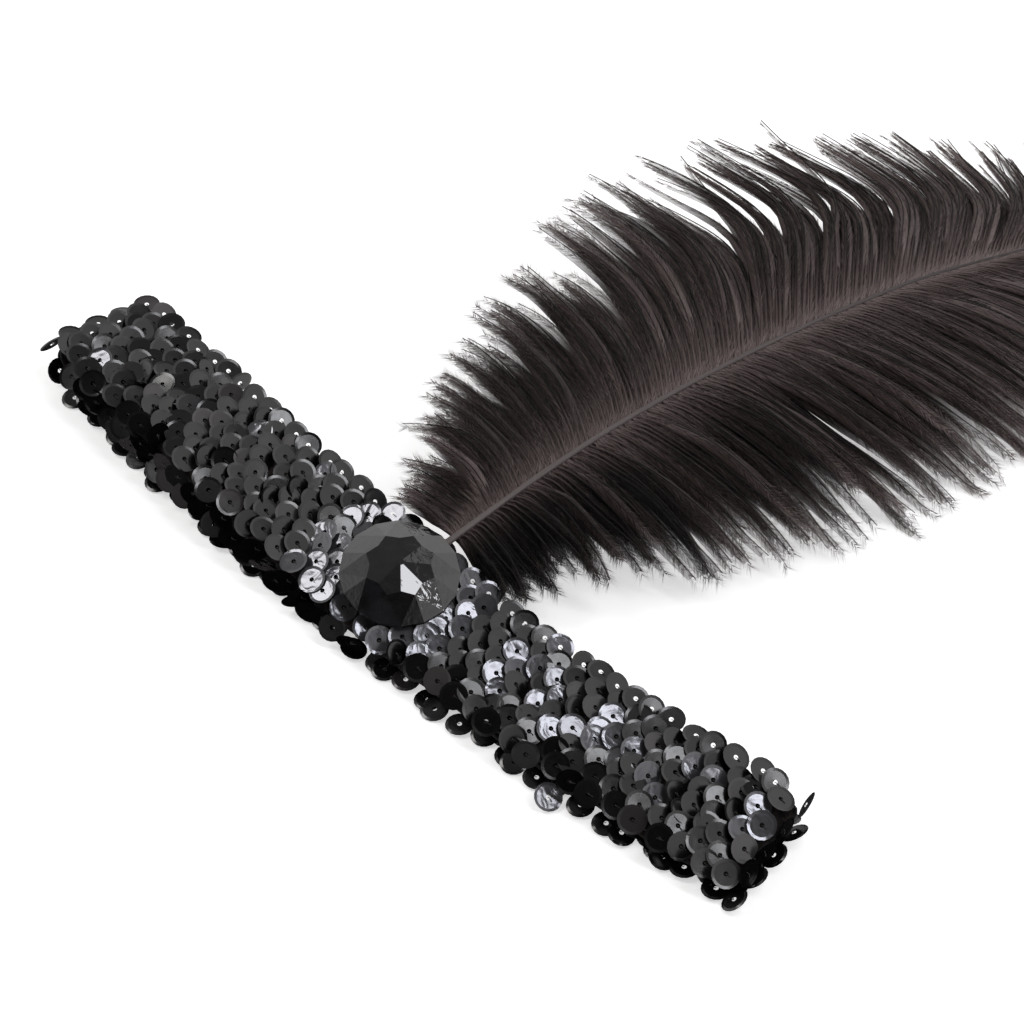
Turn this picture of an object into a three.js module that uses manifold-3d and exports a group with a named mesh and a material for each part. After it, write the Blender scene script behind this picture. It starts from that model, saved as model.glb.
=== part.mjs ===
import * as THREE from "three";
import { mergeVertices } from "three/addons/utils/BufferGeometryUtils.js";
import Module from "manifold-3d";

// A flapper headband: a closed stretch loop of net covered in rows of overlapping sequins,
// lying pressed flat, with a round cut stone on its upper run and one long soft plume.
// Millimetres. +X runs along the flattened loop, +Y towards the plume's tip, +Z up.
// The origin is the middle of the flat underside, on the floor.

const wasm = await Module();
wasm.setup();
const { Manifold, Mesh } = wasm;

// Band
const BAND_REACH = 104;
const ROW_COUNT = 8;
const ROW_SPREAD = 24;
const RUN_COLUMNS = 52;
const FOLD_COLUMNS = 8;
const NET_WALL = 1;
const GAP = 0.3;
const COVER_WALL = 1;
const SEQUIN_RELIEF = 0.9;
const SEQUIN_OVERHANG = 2.9;
const BARE_OVERHANG = 1.2;
const LOFT = 8.7;
const FOLD_DEPTH_SHARE = 0.56;
const BOW = 7;
const COVER_FACE = GAP + COVER_WALL;
const COVER_TOP = COVER_FACE + SEQUIN_RELIEF;
const HALF_SPREAD = ROW_SPREAD / 2;

// Stone
const STONE_RADIUS = 12.4;
const STONE_ALONG = 0.043;
const STONE_RIM = 1.2;
const STONE_CROWN = 4.8;
const STONE_TABLE_RADIUS = 0.8;
const STONE_SIDES = 8;
const STONE_LEAN = 12;
const STONE_DIP = 3;
const PAD_DEPTH_SPARE = 0.4;
const STONE_TURN = 4;
const PAD_RADIUS = 9.5;

// Plume
const SHAFT_LENGTH = 212;
const QUILL_RADIUS = 0.95;
const SHAFT_TIP_RADIUS = 0.45;
const SHAFT_SIDES = 8;
const SHAFT_STATIONS = 44;
const VANE_CLEARANCE = 2;
const VANE_REACH = 62;
const LOCK_THICKNESS = 1.1;
const LOCK_TIP_THICKNESS = 0.7;
const STATIONS_PER_LOCK = 4;
const LOCK_STEPS = 8;
const NOTCH_DEPTH = 0.3;

// How high the upper run lies over the lower one at its near and far edges, as shares of LOFT.
// "at" is the place along the band, from -1 at the left fold to 1 at the right fold.
const UPPER_RUN = [
  { at: -1.0, near: 1.08, far: 0.78 },
  { at: -0.6, near: 1.12, far: 0.95 },
  { at: -0.3, near: 1.06, far: 0.94 },
  { at: 0.0, near: 0.56, far: 0.85 },
  { at: 0.4, near: 0.42, far: 0.6 },
  { at: 0.8, near: 0.4, far: 0.62 },
  { at: 1.0, near: 0.4, far: 0.75 },
];

// How far each fold reaches along the band at its near and far edges, as shares of BAND_REACH.
const FOLD_REACH = {
  left: { near: 1.01, far: 0.995 },
  right: { near: 1.015, far: 0.97 },
};

// The shaft's line from the middle of the stone's back: every column is a share of SHAFT_LENGTH.
const SHAFT_LINE = [
  { at: 0.0, aside: 0.0, ahead: -0.013, rise: -0.0042 },
  { at: 0.07, aside: 0.0, ahead: 0.057, rise: 0.0085 },
  { at: 0.27, aside: 0.006, ahead: 0.257, rise: 0.0355 },
  { at: 0.47, aside: 0.02, ahead: 0.457, rise: 0.0415 },
  { at: 0.68, aside: 0.038, ahead: 0.657, rise: 0.029 },
  { at: 0.84, aside: 0.05, ahead: 0.807, rise: -0.003 },
  { at: 1.0, aside: 0.056, ahead: 0.952, rise: -0.045 },
];

// One row for each lock. "at" is the root's place along the vaned part of the shaft, "reach" the
// lock's length as a share of VANE_REACH, "leave" and "end" its angle from the shaft's forward
// direction at its root and its tip, in degrees.
const LEFT_LOCKS = [
  { at: 0.0, reach: 0.26, leave: 86, end: 116 },
  { at: 0.04, reach: 0.36, leave: 78, end: 110 },
  { at: 0.09, reach: 0.5, leave: 72, end: 104 },
  { at: 0.15, reach: 0.62, leave: 66, end: 98 },
  { at: 0.22, reach: 0.74, leave: 60, end: 94 },
  { at: 0.3, reach: 0.86, leave: 56, end: 92 },
  { at: 0.38, reach: 0.95, leave: 53, end: 92 },
  { at: 0.46, reach: 1.0, leave: 50, end: 92 },
  { at: 0.54, reach: 1.0, leave: 47, end: 90 },
  { at: 0.62, reach: 0.95, leave: 44, end: 84 },
  { at: 0.7, reach: 0.85, leave: 40, end: 76 },
  { at: 0.78, reach: 0.76, leave: 36, end: 66 },
  { at: 0.86, reach: 0.66, leave: 30, end: 54 },
  { at: 0.93, reach: 0.6, leave: 22, end: 38 },
  { at: 1.0, reach: 0.48, leave: 8, end: 12 },
];
const RIGHT_LOCKS = [
  { at: 0.0, reach: 0.3, leave: 84, end: 98 },
  { at: 0.04, reach: 0.38, leave: 82, end: 96 },
  { at: 0.09, reach: 0.47, leave: 79, end: 92 },
  { at: 0.15, reach: 0.58, leave: 78, end: 88 },
  { at: 0.22, reach: 0.66, leave: 72, end: 82 },
  { at: 0.3, reach: 0.74, leave: 67, end: 78 },
  { at: 0.38, reach: 0.8, leave: 63, end: 74 },
  { at: 0.46, reach: 0.82, leave: 58, end: 70 },
  { at: 0.54, reach: 0.82, leave: 54, end: 66 },
  { at: 0.62, reach: 0.78, leave: 49, end: 60 },
  { at: 0.7, reach: 0.74, leave: 44, end: 54 },
  { at: 0.78, reach: 0.7, leave: 38, end: 48 },
  { at: 0.86, reach: 0.64, leave: 31, end: 40 },
  { at: 0.93, reach: 0.58, leave: 22, end: 28 },
  { at: 1.0, reach: 0.5, leave: 8, end: 10 },
];
const LEFT_TILT = { rise: 0.2, droop: 0.06 };
const RIGHT_TILT = { rise: -0.16, droop: 0.34 };

const radians = THREE.MathUtils.degToRad;

// Reads a column of a table between its rows, along a smooth curve through them.
function readTable(rows, column, at, key = "at") {
  const last = rows.length - 1;
  let i = 0;
  while (i < last - 1 && at > rows[i + 1][key]) {
    i += 1;
  }
  const slope = (k) => {
    const before = rows[Math.max(k - 1, 0)];
    const after = rows[Math.min(k + 1, last)];
    return (after[column] - before[column]) / (after[key] - before[key]);
  };
  const span = rows[i + 1][key] - rows[i][key];
  const t = THREE.MathUtils.clamp((at - rows[i][key]) / span, 0, 1);
  const t2 = t * t;
  const t3 = t2 * t;
  return (
    (2 * t3 - 3 * t2 + 1) * rows[i][column] +
    (t3 - 2 * t2 + t) * span * slope(i) +
    (3 * t2 - 2 * t3) * rows[i + 1][column] +
    (t3 - t2) * span * slope(i + 1)
  );
}

// Between the near edge row (across -1) and the far one (across 1), and on past them.
function acrossBand(row, across) {
  return row.near + ((row.far - row.near) * (across + 1)) / 2;
}

function upperRise(along, across) {
  const row = {
    near: readTable(UPPER_RUN, "near", along),
    far: readTable(UPPER_RUN, "far", along),
  };
  return acrossBand(row, across);
}

// The place "around" the loop: 0 to 1 is the upper run from left to right, 1 to 2 the right
// fold, 2 to 3 the lower run from right to left, 3 to 4 the left fold.
function aroundLoop(around) {
  const place = THREE.MathUtils.euclideanModulo(around, 4);
  if (place < 1) {
    return { along: 2 * place - 1, outward: 0, height: 1 };
  }
  if (place < 2) {
    const turn = (place - 1) * Math.PI;
    return { along: 1, outward: Math.sin(turn), height: (1 + Math.cos(turn)) / 2 };
  }
  if (place < 3) {
    return { along: 1 - 2 * (place - 2), outward: 0, height: 0 };
  }
  const turn = (place - 3) * Math.PI;
  return { along: -1, outward: -Math.sin(turn), height: (1 - Math.cos(turn)) / 2 };
}

// A point of the net's outer face.
function netPoint(around, across) {
  const { along, outward, height } = aroundLoop(around);
  const rise = upperRise(along, across);
  const side = along > 0 ? 1 : -1;
  const reach = BAND_REACH * acrossBand(side > 0 ? FOLD_REACH.right : FOLD_REACH.left, across);
  const depth = FOLD_DEPTH_SHARE * LOFT * upperRise(side, across);
  const x = along * (reach - depth) + outward * depth;
  const y = across * HALF_SPREAD + BOW * (x / BAND_REACH) ** 2;
  return new THREE.Vector3(x, y, COVER_TOP + LOFT * rise * height);
}

function netNormal(around, across) {
  const step = 0.004;
  const along = netPoint(around + step, across).sub(netPoint(around - step, across));
  const wide = netPoint(around, across + step).sub(netPoint(around, across - step));
  return along.cross(wide).normalize();
}

// A point at a height over the net's outer face. The whole lower run faces straight down.
function bandPoint(around, across, over) {
  const lower = around >= 2 && around <= 3;
  const normal = lower ? new THREE.Vector3(0, 0, -1) : netNormal(around, across);
  return netPoint(around, across).addScaledVector(normal, over);
}

// A closed or an open row of rings, each a closed row of points, as one solid's geometry.
function loftRings(rings, closed) {
  const size = rings[0].length;
  const positions = rings.flat().flatMap((p) => [p.x, p.y, p.z]);
  const index = [];
  const spans = closed ? rings.length : rings.length - 1;
  for (let i = 0; i < spans; i += 1) {
    const a = i * size;
    const b = ((i + 1) % rings.length) * size;
    for (let j = 0; j < size; j += 1) {
      const k = (j + 1) % size;
      if ((i + j) % 2 === 0) {
        index.push(a + j, b + j, b + k, a + j, b + k, a + k);
      } else {
        index.push(a + j, b + j, a + k, a + k, b + j, b + k);
      }
    }
  }
  if (!closed) {
    const end = (rings.length - 1) * size;
    for (let j = 1; j < size - 1; j += 1) {
      index.push(0, j, j + 1);
      index.push(end, end + j + 1, end + j);
    }
  }
  const geometry = new THREE.BufferGeometry();
  geometry.setAttribute("position", new THREE.Float32BufferAttribute(positions, 3));
  geometry.setIndex(index);
  return geometry;
}

function toManifold(geometry) {
  const bare = geometry.clone();
  bare.deleteAttribute("normal");
  bare.deleteAttribute("uv");
  const merged = mergeVertices(bare, 1e-4);
  const body = new Manifold(
    new Mesh({
      numProp: 3,
      vertProperties: new Float32Array(merged.attributes.position.array),
      triVerts: new Uint32Array(merged.index.array),
    }),
  );
  return body;
}

function toGeometry(manifold) {
  const mesh = manifold.getMesh();
  const geometry = new THREE.BufferGeometry();
  geometry.setAttribute("position", new THREE.BufferAttribute(mesh.vertProperties, 3));
  geometry.setIndex(new THREE.BufferAttribute(mesh.triVerts, 1));
  return geometry;
}

// The columns round the loop: even steps on each run and on each fold.
function loopColumns() {
  const columns = [];
  for (let part = 0; part < 4; part += 1) {
    const count = part % 2 === 0 ? RUN_COLUMNS : FOLD_COLUMNS;
    for (let i = 0; i < count; i += 1) {
      const sewn = part % 2 === 0 || i % 2 === 0;
      columns.push({ around: part + i / count, part, step: i, sewn });
    }
  }
  return columns;
}

// The closed net loop inside the sequins, with half the columns on the straight runs.
function makeNet() {
  const columns = loopColumns().filter((c) => c.part % 2 === 1 || c.step % 2 === 0);
  const rings = columns.map(({ around }) => [
    bandPoint(around, -1, 0),
    bandPoint(around, 0, 0),
    bandPoint(around, 1, 0),
    bandPoint(around, 1, -NET_WALL),
    bandPoint(around, 0, -NET_WALL),
    bandPoint(around, -1, -NET_WALL),
  ]);
  return loftRings(rings, true);
}

// The sewn sequin field: raised where a sequin sits, on every second crossing of column and
// row, with scalloped edges, and pressed level where the band rests.
function makeCover() {
  let sewnCount = 0;
  const rings = loopColumns().map(({ around, sewn }) => {
    const level = around >= 2 && around <= 3;
    const phase = sewnCount % 2;
    sewnCount += sewn ? 1 : 0;
    const raised = (row) => (sewn ? (row + phase) % 2 === 0 : false);
    const overhang = (row) => (raised(row) ? SEQUIN_OVERHANG : BARE_OVERHANG) / HALF_SPREAD;
    const ring = [];
    ring.push(bandPoint(around, -1 - overhang(0), GAP + COVER_WALL / 2));
    for (let row = 0; row < ROW_COUNT; row += 1) {
      const across = (2 * row) / (ROW_COUNT - 1) - 1;
      const over = level || raised(row) ? COVER_TOP : sewn ? COVER_FACE : COVER_FACE + SEQUIN_RELIEF / 2;
      ring.push(bandPoint(around, across, over));
    }
    ring.push(bandPoint(around, 1 + overhang(ROW_COUNT - 1), GAP + COVER_WALL / 2));
    ring.push(bandPoint(around, 1, GAP));
    ring.push(bandPoint(around, 0, GAP));
    ring.push(bandPoint(around, -1, GAP));
    return ring;
  });
  return loftRings(rings, true);
}

// The stone's own axes, over the band at its place: its face leans with the upper run and a
// little more towards the right fold and the near edge. Its back clears the sequins at the
// lowest side and leaves room for the quill in the middle.
function stoneFrame() {
  const around = (STONE_ALONG + 1) / 2;
  const seat = bandPoint(around, 0, COVER_TOP);
  const normal = netNormal(around, 0);
  const lean = radians(Math.hypot(STONE_LEAN, STONE_DIP));
  const quillRoom = 2 * QUILL_RADIUS + 2 * GAP + PAD_DEPTH_SPARE;
  const standoff = GAP + Math.max(STONE_RADIUS * Math.sin(lean), quillRoom);
  const centre = seat.addScaledVector(normal, standoff);
  normal.applyAxisAngle(new THREE.Vector3(0, 1, 0), radians(STONE_LEAN));
  normal.applyAxisAngle(new THREE.Vector3(1, 0, 0), radians(STONE_DIP));
  const side = new THREE.Vector3(1, 0, 0).addScaledVector(normal, -normal.x).normalize();
  side.applyAxisAngle(normal, radians(STONE_TURN));
  const ahead = normal.clone().cross(side);
  return new THREE.Matrix4().makeBasis(side, ahead, normal).setPosition(centre);
}

// A low rose-like cut: a small table, 8 inner kites round it, 8 outer kites and 16 rim facets.
function makeStone(frame) {
  const inner = 0.5 * STONE_RADIUS;
  const outer = 0.6 * STONE_RADIUS;
  const half = Math.PI / STONE_SIDES;
  const outerAxial = outer * Math.cos(half);
  const outerHeight = STONE_CROWN / 1.526;
  const innerHeight = (outerHeight * (STONE_RADIUS - inner)) / (STONE_RADIUS - outerAxial);
  const innerAxial = inner * Math.cos(half);
  const fall = (innerHeight - outerHeight) / (outer - innerAxial);
  const peak = innerHeight + innerAxial * fall;
  const rings = [
    { radius: STONE_RADIUS - 0.8, height: 0, turn: 0, count: 2 * STONE_SIDES },
    { radius: STONE_RADIUS, height: 0.5, turn: 0, count: 2 * STONE_SIDES },
    { radius: STONE_RADIUS, height: STONE_RIM, turn: 0, count: 2 * STONE_SIDES },
    { radius: outer, height: STONE_RIM + outerHeight, turn: half, count: STONE_SIDES },
    { radius: inner, height: STONE_RIM + innerHeight, turn: 0, count: STONE_SIDES },
    {
      radius: STONE_TABLE_RADIUS,
      height: STONE_RIM + peak - STONE_TABLE_RADIUS * fall,
      turn: 0,
      count: STONE_SIDES,
    },
  ];
  const points = rings.flatMap(({ radius, height, turn, count }) =>
    Array.from({ length: count }, (_, i) => {
      const angle = turn + (2 * Math.PI * i) / count;
      const point = new THREE.Vector3(radius * Math.cos(angle), radius * Math.sin(angle), height);
      return point.applyMatrix4(frame).toArray();
    }),
  );
  return toGeometry(Manifold.hull(points));
}

const stoneAxes = stoneFrame();
const quillSeat = new THREE.Vector3(0, 0, -GAP - QUILL_RADIUS).applyMatrix4(stoneAxes);

function shaftRadius(at) {
  return THREE.MathUtils.lerp(QUILL_RADIUS, SHAFT_TIP_RADIUS, at);
}

function shaftPoint(at) {
  const x = quillSeat.x + readTable(SHAFT_LINE, "aside", at) * SHAFT_LENGTH;
  const y = quillSeat.y + readTable(SHAFT_LINE, "ahead", at) * SHAFT_LENGTH;
  const z = quillSeat.z + readTable(SHAFT_LINE, "rise", at) * SHAFT_LENGTH;
  return new THREE.Vector3(x, y, Math.max(z, shaftRadius(at)));
}

function shareAhead(y) {
  return (y - quillSeat.y) / SHAFT_LENGTH;
}

// The height of the vanes' sheet over the floor at the shaft, y ahead of the band's middle.
function shaftHeight(y) {
  return quillSeat.z + readTable(SHAFT_LINE, "rise", shareAhead(y), "ahead") * SHAFT_LENGTH;
}

// The vanes start where the shaft has passed the band's far edge.
const farEdge = HALF_SPREAD + SEQUIN_OVERHANG;
const vaneStart = readTable(SHAFT_LINE, "at", shareAhead(farEdge + VANE_CLEARANCE), "ahead");

function tube(from, to, stations, grow) {
  const rings = [];
  for (let i = 0; i <= stations; i += 1) {
    const at = from + ((to - from) * i) / stations;
    const centre = shaftPoint(at);
    const tangent = shaftPoint(at + 0.01).sub(shaftPoint(at - 0.01)).normalize();
    const side = new THREE.Vector3(1, 0, 0).addScaledVector(tangent, -tangent.x).normalize();
    const up = side.clone().cross(tangent);
    const radius = shaftRadius(at) + grow;
    rings.push(
      Array.from({ length: SHAFT_SIDES }, (_, k) => {
        const angle = (2 * Math.PI * (k + 0.5)) / SHAFT_SIDES;
        const point = centre.clone();
        point.addScaledVector(side, radius * Math.cos(angle));
        return point.addScaledVector(up, radius * Math.sin(angle));
      }),
    );
  }
  return loftRings(rings, false);
}

// A place on one lock's centre line, sideways positive, on the sheet both vanes lie in.
function lockPoint(locks, tilt, sign, root, share, depth) {
  const at = vaneStart + (1 - vaneStart) * root;
  const start = shaftPoint(at);
  const tangent = shaftPoint(at + 0.01).sub(shaftPoint(at - 0.01));
  const heading = Math.atan2(tangent.x, tangent.y);
  const leave = radians(readTable(locks, "leave", root));
  const end = radians(readTable(locks, "end", root));
  const reach = VANE_REACH * readTable(locks, "reach", root) * depth;
  let x = start.x;
  let y = start.y;
  for (let i = 0; i < LOCK_STEPS; i += 1) {
    const turned = (share * (i + 0.5)) / LOCK_STEPS;
    const angle = heading + sign * (leave + (end - leave) * turned);
    x += (Math.sin(angle) * reach * share) / LOCK_STEPS;
    y += (Math.cos(angle) * reach * share) / LOCK_STEPS;
  }
  const away = Math.abs(x - start.x - (y - start.y) * Math.tan(heading));
  const bend = tilt.droop * (away / VANE_REACH) ** 2 * VANE_REACH;
  const z = shaftHeight(y) + tilt.rise * away - bend;
  return new THREE.Vector3(x, y, z);
}

// Both vanes as one sheet of locks, parted into notches at their tips.
function makeVanes() {
  const rings = [];
  const count = (LEFT_LOCKS.length - 1) * STATIONS_PER_LOCK;
  for (let i = 0; i <= count; i += 1) {
    const k = Math.min(Math.floor(i / STATIONS_PER_LOCK), LEFT_LOCKS.length - 2);
    const t = i / STATIONS_PER_LOCK - k;
    const root = THREE.MathUtils.lerp(LEFT_LOCKS[k].at, LEFT_LOCKS[k + 1].at, t);
    const parted = 1 - NOTCH_DEPTH * (1 - Math.abs(2 * t - 1));
    const upper = [];
    const lower = [];
    for (let j = LOCK_STEPS; j >= -LOCK_STEPS; j -= 1) {
      const share = Math.abs(j) / LOCK_STEPS;
      const [locks, tilt, sign] = j < 0 ? [LEFT_LOCKS, LEFT_TILT, -1] : [RIGHT_LOCKS, RIGHT_TILT, 1];
      const point = lockPoint(locks, tilt, sign, root, share, parted);
      const thick = THREE.MathUtils.lerp(LOCK_THICKNESS, LOCK_TIP_THICKNESS, share) / 2;
      point.z = Math.max(point.z, thick);
      upper.push(point.clone().setZ(point.z + thick));
      lower.unshift(point.clone().setZ(point.z - thick));
    }
    rings.push([...upper, ...lower]);
  }
  return loftRings(rings, false);
}

function makePlume() {
  const shaft = toManifold(tube(0, 1, SHAFT_STATIONS, 0));
  const vanes = toManifold(makeVanes());
  return toGeometry(shaft.add(vanes));
}

// The glue pad between the stone's back and the sequins, hollowed to clear both and the quill.
function makePad(frame) {
  const around = (STONE_ALONG + 1) / 2;
  const columns = 12;
  const rings = [];
  for (let i = 0; i <= columns; i += 1) {
    const place = around - 0.12 + (0.24 * i) / columns;
    const near = bandPoint(place, -1.5, COVER_TOP + GAP);
    const middle = bandPoint(place, 0, COVER_TOP + GAP);
    const far = bandPoint(place, 1.5, COVER_TOP + GAP);
    rings.push([near, middle, far, far.clone().setZ(0), near.clone().setZ(0)]);
  }
  const bed = toManifold(loftRings(rings, false));
  const disc = new THREE.CylinderGeometry(PAD_RADIUS, PAD_RADIUS, 8, 24);
  disc.rotateX(Math.PI / 2).translate(0, 0, -4 - GAP).applyMatrix4(frame);
  const quill = toManifold(tube(0, 0.2, 8, GAP));
  return toGeometry(toManifold(disc).subtract(bed).subtract(quill));
}

const group = new THREE.Group();

function addPiece(name, geometry, color, roughness, metalness) {
  const material = new THREE.MeshStandardMaterial({ color, roughness, metalness });
  const mesh = new THREE.Mesh(geometry, material);
  mesh.name = name;
  group.add(mesh);
}

addPiece("net_band", makeNet(), 0x1d1816, 0.9, 0);
addPiece("sequin_cover", makeCover(), 0x0c0c0e, 0.25, 0);
addPiece("stone", makeStone(stoneAxes), 0x08080a, 0.08, 0);
addPiece("stone_pad", makePad(stoneAxes), 0x141314, 0.5, 0);
addPiece("plume", makePlume(), 0x292220, 0.85, 0);

export default group;
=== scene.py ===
"""A flapper headband dressed for its picture: sequins on a net loop, a stone and a soft plume.

Metres, in the part's own frame: +X along the flattened loop, +Y towards the plume's tip, +Z up,
and the origin in the middle of the flat underside, on the floor.
"""

import logging
import math
from dataclasses import dataclass, field
from enum import Enum
from typing import Any

import bpy
import numpy as np
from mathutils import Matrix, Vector


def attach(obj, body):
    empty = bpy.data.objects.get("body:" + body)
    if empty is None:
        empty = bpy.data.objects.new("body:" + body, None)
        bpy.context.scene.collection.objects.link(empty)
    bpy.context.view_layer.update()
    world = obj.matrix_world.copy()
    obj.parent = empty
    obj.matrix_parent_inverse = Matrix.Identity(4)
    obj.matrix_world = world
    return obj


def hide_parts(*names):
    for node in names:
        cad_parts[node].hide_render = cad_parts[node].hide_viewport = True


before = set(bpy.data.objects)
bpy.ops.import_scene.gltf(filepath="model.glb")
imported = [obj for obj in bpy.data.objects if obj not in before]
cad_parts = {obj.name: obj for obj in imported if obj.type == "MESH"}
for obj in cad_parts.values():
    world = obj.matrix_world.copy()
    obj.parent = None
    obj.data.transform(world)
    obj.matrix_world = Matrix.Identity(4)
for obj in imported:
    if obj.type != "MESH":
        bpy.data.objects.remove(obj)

logging.basicConfig(level=logging.INFO, format="%(name)s: %(message)s")
LOG = logging.getLogger("headband")
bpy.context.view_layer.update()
BODY = "root"

Array = np.ndarray
Socket = bpy.types.NodeSocket
Piece = bpy.types.Object
Faces = list[tuple[int, ...]]
Triple = tuple[float, float, float]
Colour = tuple[float, float, float, float]
Span = tuple[float, float]


class Slot(Enum):
    """The record's material slots."""

    NET = "net_band"
    SEQUINS = "sequin_cover"
    STONE = "stone"
    GLUE = "stone_pad"
    PLUME = "plume"


class Side(Enum):
    """The two vanes of the plume, as the sign of their sideways direction."""

    LEFT = -1
    RIGHT = 1


def unit(vectors: Array) -> Array:
    """Scales each row of vectors to length one."""
    return vectors / np.maximum(np.linalg.norm(vectors, axis=-1, keepdims=True), 1e-12)


def ease(low: float, high: float, value: Array) -> Array:
    """Rises smoothly from 0 at low to 1 at high."""
    share = np.clip((value - low) / (high - low), 0.0, 1.0)
    return share * share * (3 - 2 * share)


def turned(vectors: Array, axes: Array, angles: Array) -> Array:
    """Turns vectors about unit axes.

    Args:
        vectors: rows of three.
        axes: one unit axis for each row.
        angles: one angle in radians for each row.

    Returns:
        The turned rows.
    """
    cos, sin = np.cos(angles)[..., None], np.sin(angles)[..., None]
    along = np.sum(vectors * axes, axis=-1, keepdims=True)
    return vectors * cos + np.cross(axes, vectors) * sin + axes * along * (1 - cos)


def outward(azimuth_deg: float, elevation_deg: float) -> Vector:
    """Gives the direction from the headband to a place round it.

    Args:
        azimuth_deg: 0 on the near side and 90 on the right.
        elevation_deg: how high over the floor.

    Returns:
        A vector of length one.
    """
    azimuth, elevation = math.radians(azimuth_deg), math.radians(elevation_deg)
    flat = math.cos(elevation)
    return Vector((math.sin(azimuth) * flat, -math.cos(azimuth) * flat, math.sin(elevation)))


def place_object(name: str, data: Any) -> Piece:
    """Puts data in the scene as an object.

    Args:
        name: the object's name.
        data: its mesh, camera or light.

    Returns:
        The new object.
    """
    made = bpy.data.objects.new(name, data)
    bpy.context.scene.collection.objects.link(made)
    return made


@dataclass(frozen=True)
class Profile:
    """A smooth curve through a few given values."""

    at: tuple[float, ...]
    value: tuple[float, ...]

    def read(self, where: Array) -> Array:
        """Reads the curve.

        Args:
            where: places along it, of any shape.

        Returns:
            The curve's values there, held level past its ends.
        """
        at, value = np.array(self.at), np.array(self.value)
        slope = np.empty(len(at))
        slope[1:-1] = (value[2:] - value[:-2]) / (at[2:] - at[:-2])
        slope[0] = (value[1] - value[0]) / (at[1] - at[0])
        slope[-1] = (value[-1] - value[-2]) / (at[-1] - at[-2])
        i = np.clip(np.searchsorted(at, where) - 1, 0, len(at) - 2)
        span = at[i + 1] - at[i]
        t = np.clip((where - at[i]) / span, 0.0, 1.0)
        t2, t3 = t * t, t * t * t
        start = (2 * t3 - 3 * t2 + 1) * value[i] + (t3 - 2 * t2 + t) * span * slope[i]
        end = (3 * t2 - 2 * t3) * value[i + 1] + (t3 - t2) * span * slope[i + 1]
        return start + end


# Meshes


def mesh_object(name: str, points: Array, faces: Faces) -> Piece:
    """Makes a mesh object at the origin.

    Args:
        name: the piece's name.
        points: its corners, rows of three.
        faces: its faces, as rows of corner numbers.

    Returns:
        The new object, in the scene.
    """
    mesh = bpy.data.meshes.new(name)
    mesh.from_pydata(points.tolist(), [], faces)
    mesh.validate()
    return place_object(name, mesh)


def loft(rings: Array, closed: bool) -> tuple[Array, Faces]:
    """Joins rings of points into a tube.

    Args:
        rings: (ring, point, 3), each ring a closed row of points.
        closed: whether the last ring joins the first, with no end caps.

    Returns:
        Its points and its faces.
    """
    count, size = rings.shape[:2]
    faces = []
    for i in range(count if closed else count - 1):
        a, b = i * size, (i + 1) % count * size
        faces += [(a + j, b + j, b + (j + 1) % size, a + (j + 1) % size) for j in range(size)]
    if not closed:
        faces.append(tuple(range(size)))
        faces.append(tuple(reversed(range((count - 1) * size, count * size))))
    return rings.reshape(-1, 3), faces


def hold_values(mesh: bpy.types.Mesh, values: dict[str, Array]) -> None:
    """Stores named values on a mesh's points.

    Args:
        mesh: the mesh.
        values: single numbers or rows of three, one for each point.
    """
    for name, value in values.items():
        is_vector = value.ndim == 2
        store = mesh.attributes.new(name, "FLOAT_VECTOR" if is_vector else "FLOAT", "POINT")
        store.data.foreach_set("vector" if is_vector else "value", value.astype(np.float32).ravel())


def carrier(points: Array, edges: Array | None, values: dict[str, Array]) -> Piece:
    """Makes the bare points or lines that a pattern tree grows its pieces on.

    Args:
        points: rows of three.
        edges: pairs of point numbers, or None.
        values: named values for each point, single numbers or rows of three.

    Returns:
        A mesh object holding them.
    """
    mesh = bpy.data.meshes.new("carrier")
    mesh.vertices.add(len(points))
    mesh.vertices.foreach_set("co", points.astype(np.float32).ravel())
    if edges is not None:
        mesh.edges.add(len(edges))
        mesh.edges.foreach_set("vertices", edges.astype(np.int32).ravel())
    hold_values(mesh, values)
    mesh.update()
    return place_object("carrier", mesh)


# Node trees


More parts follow.
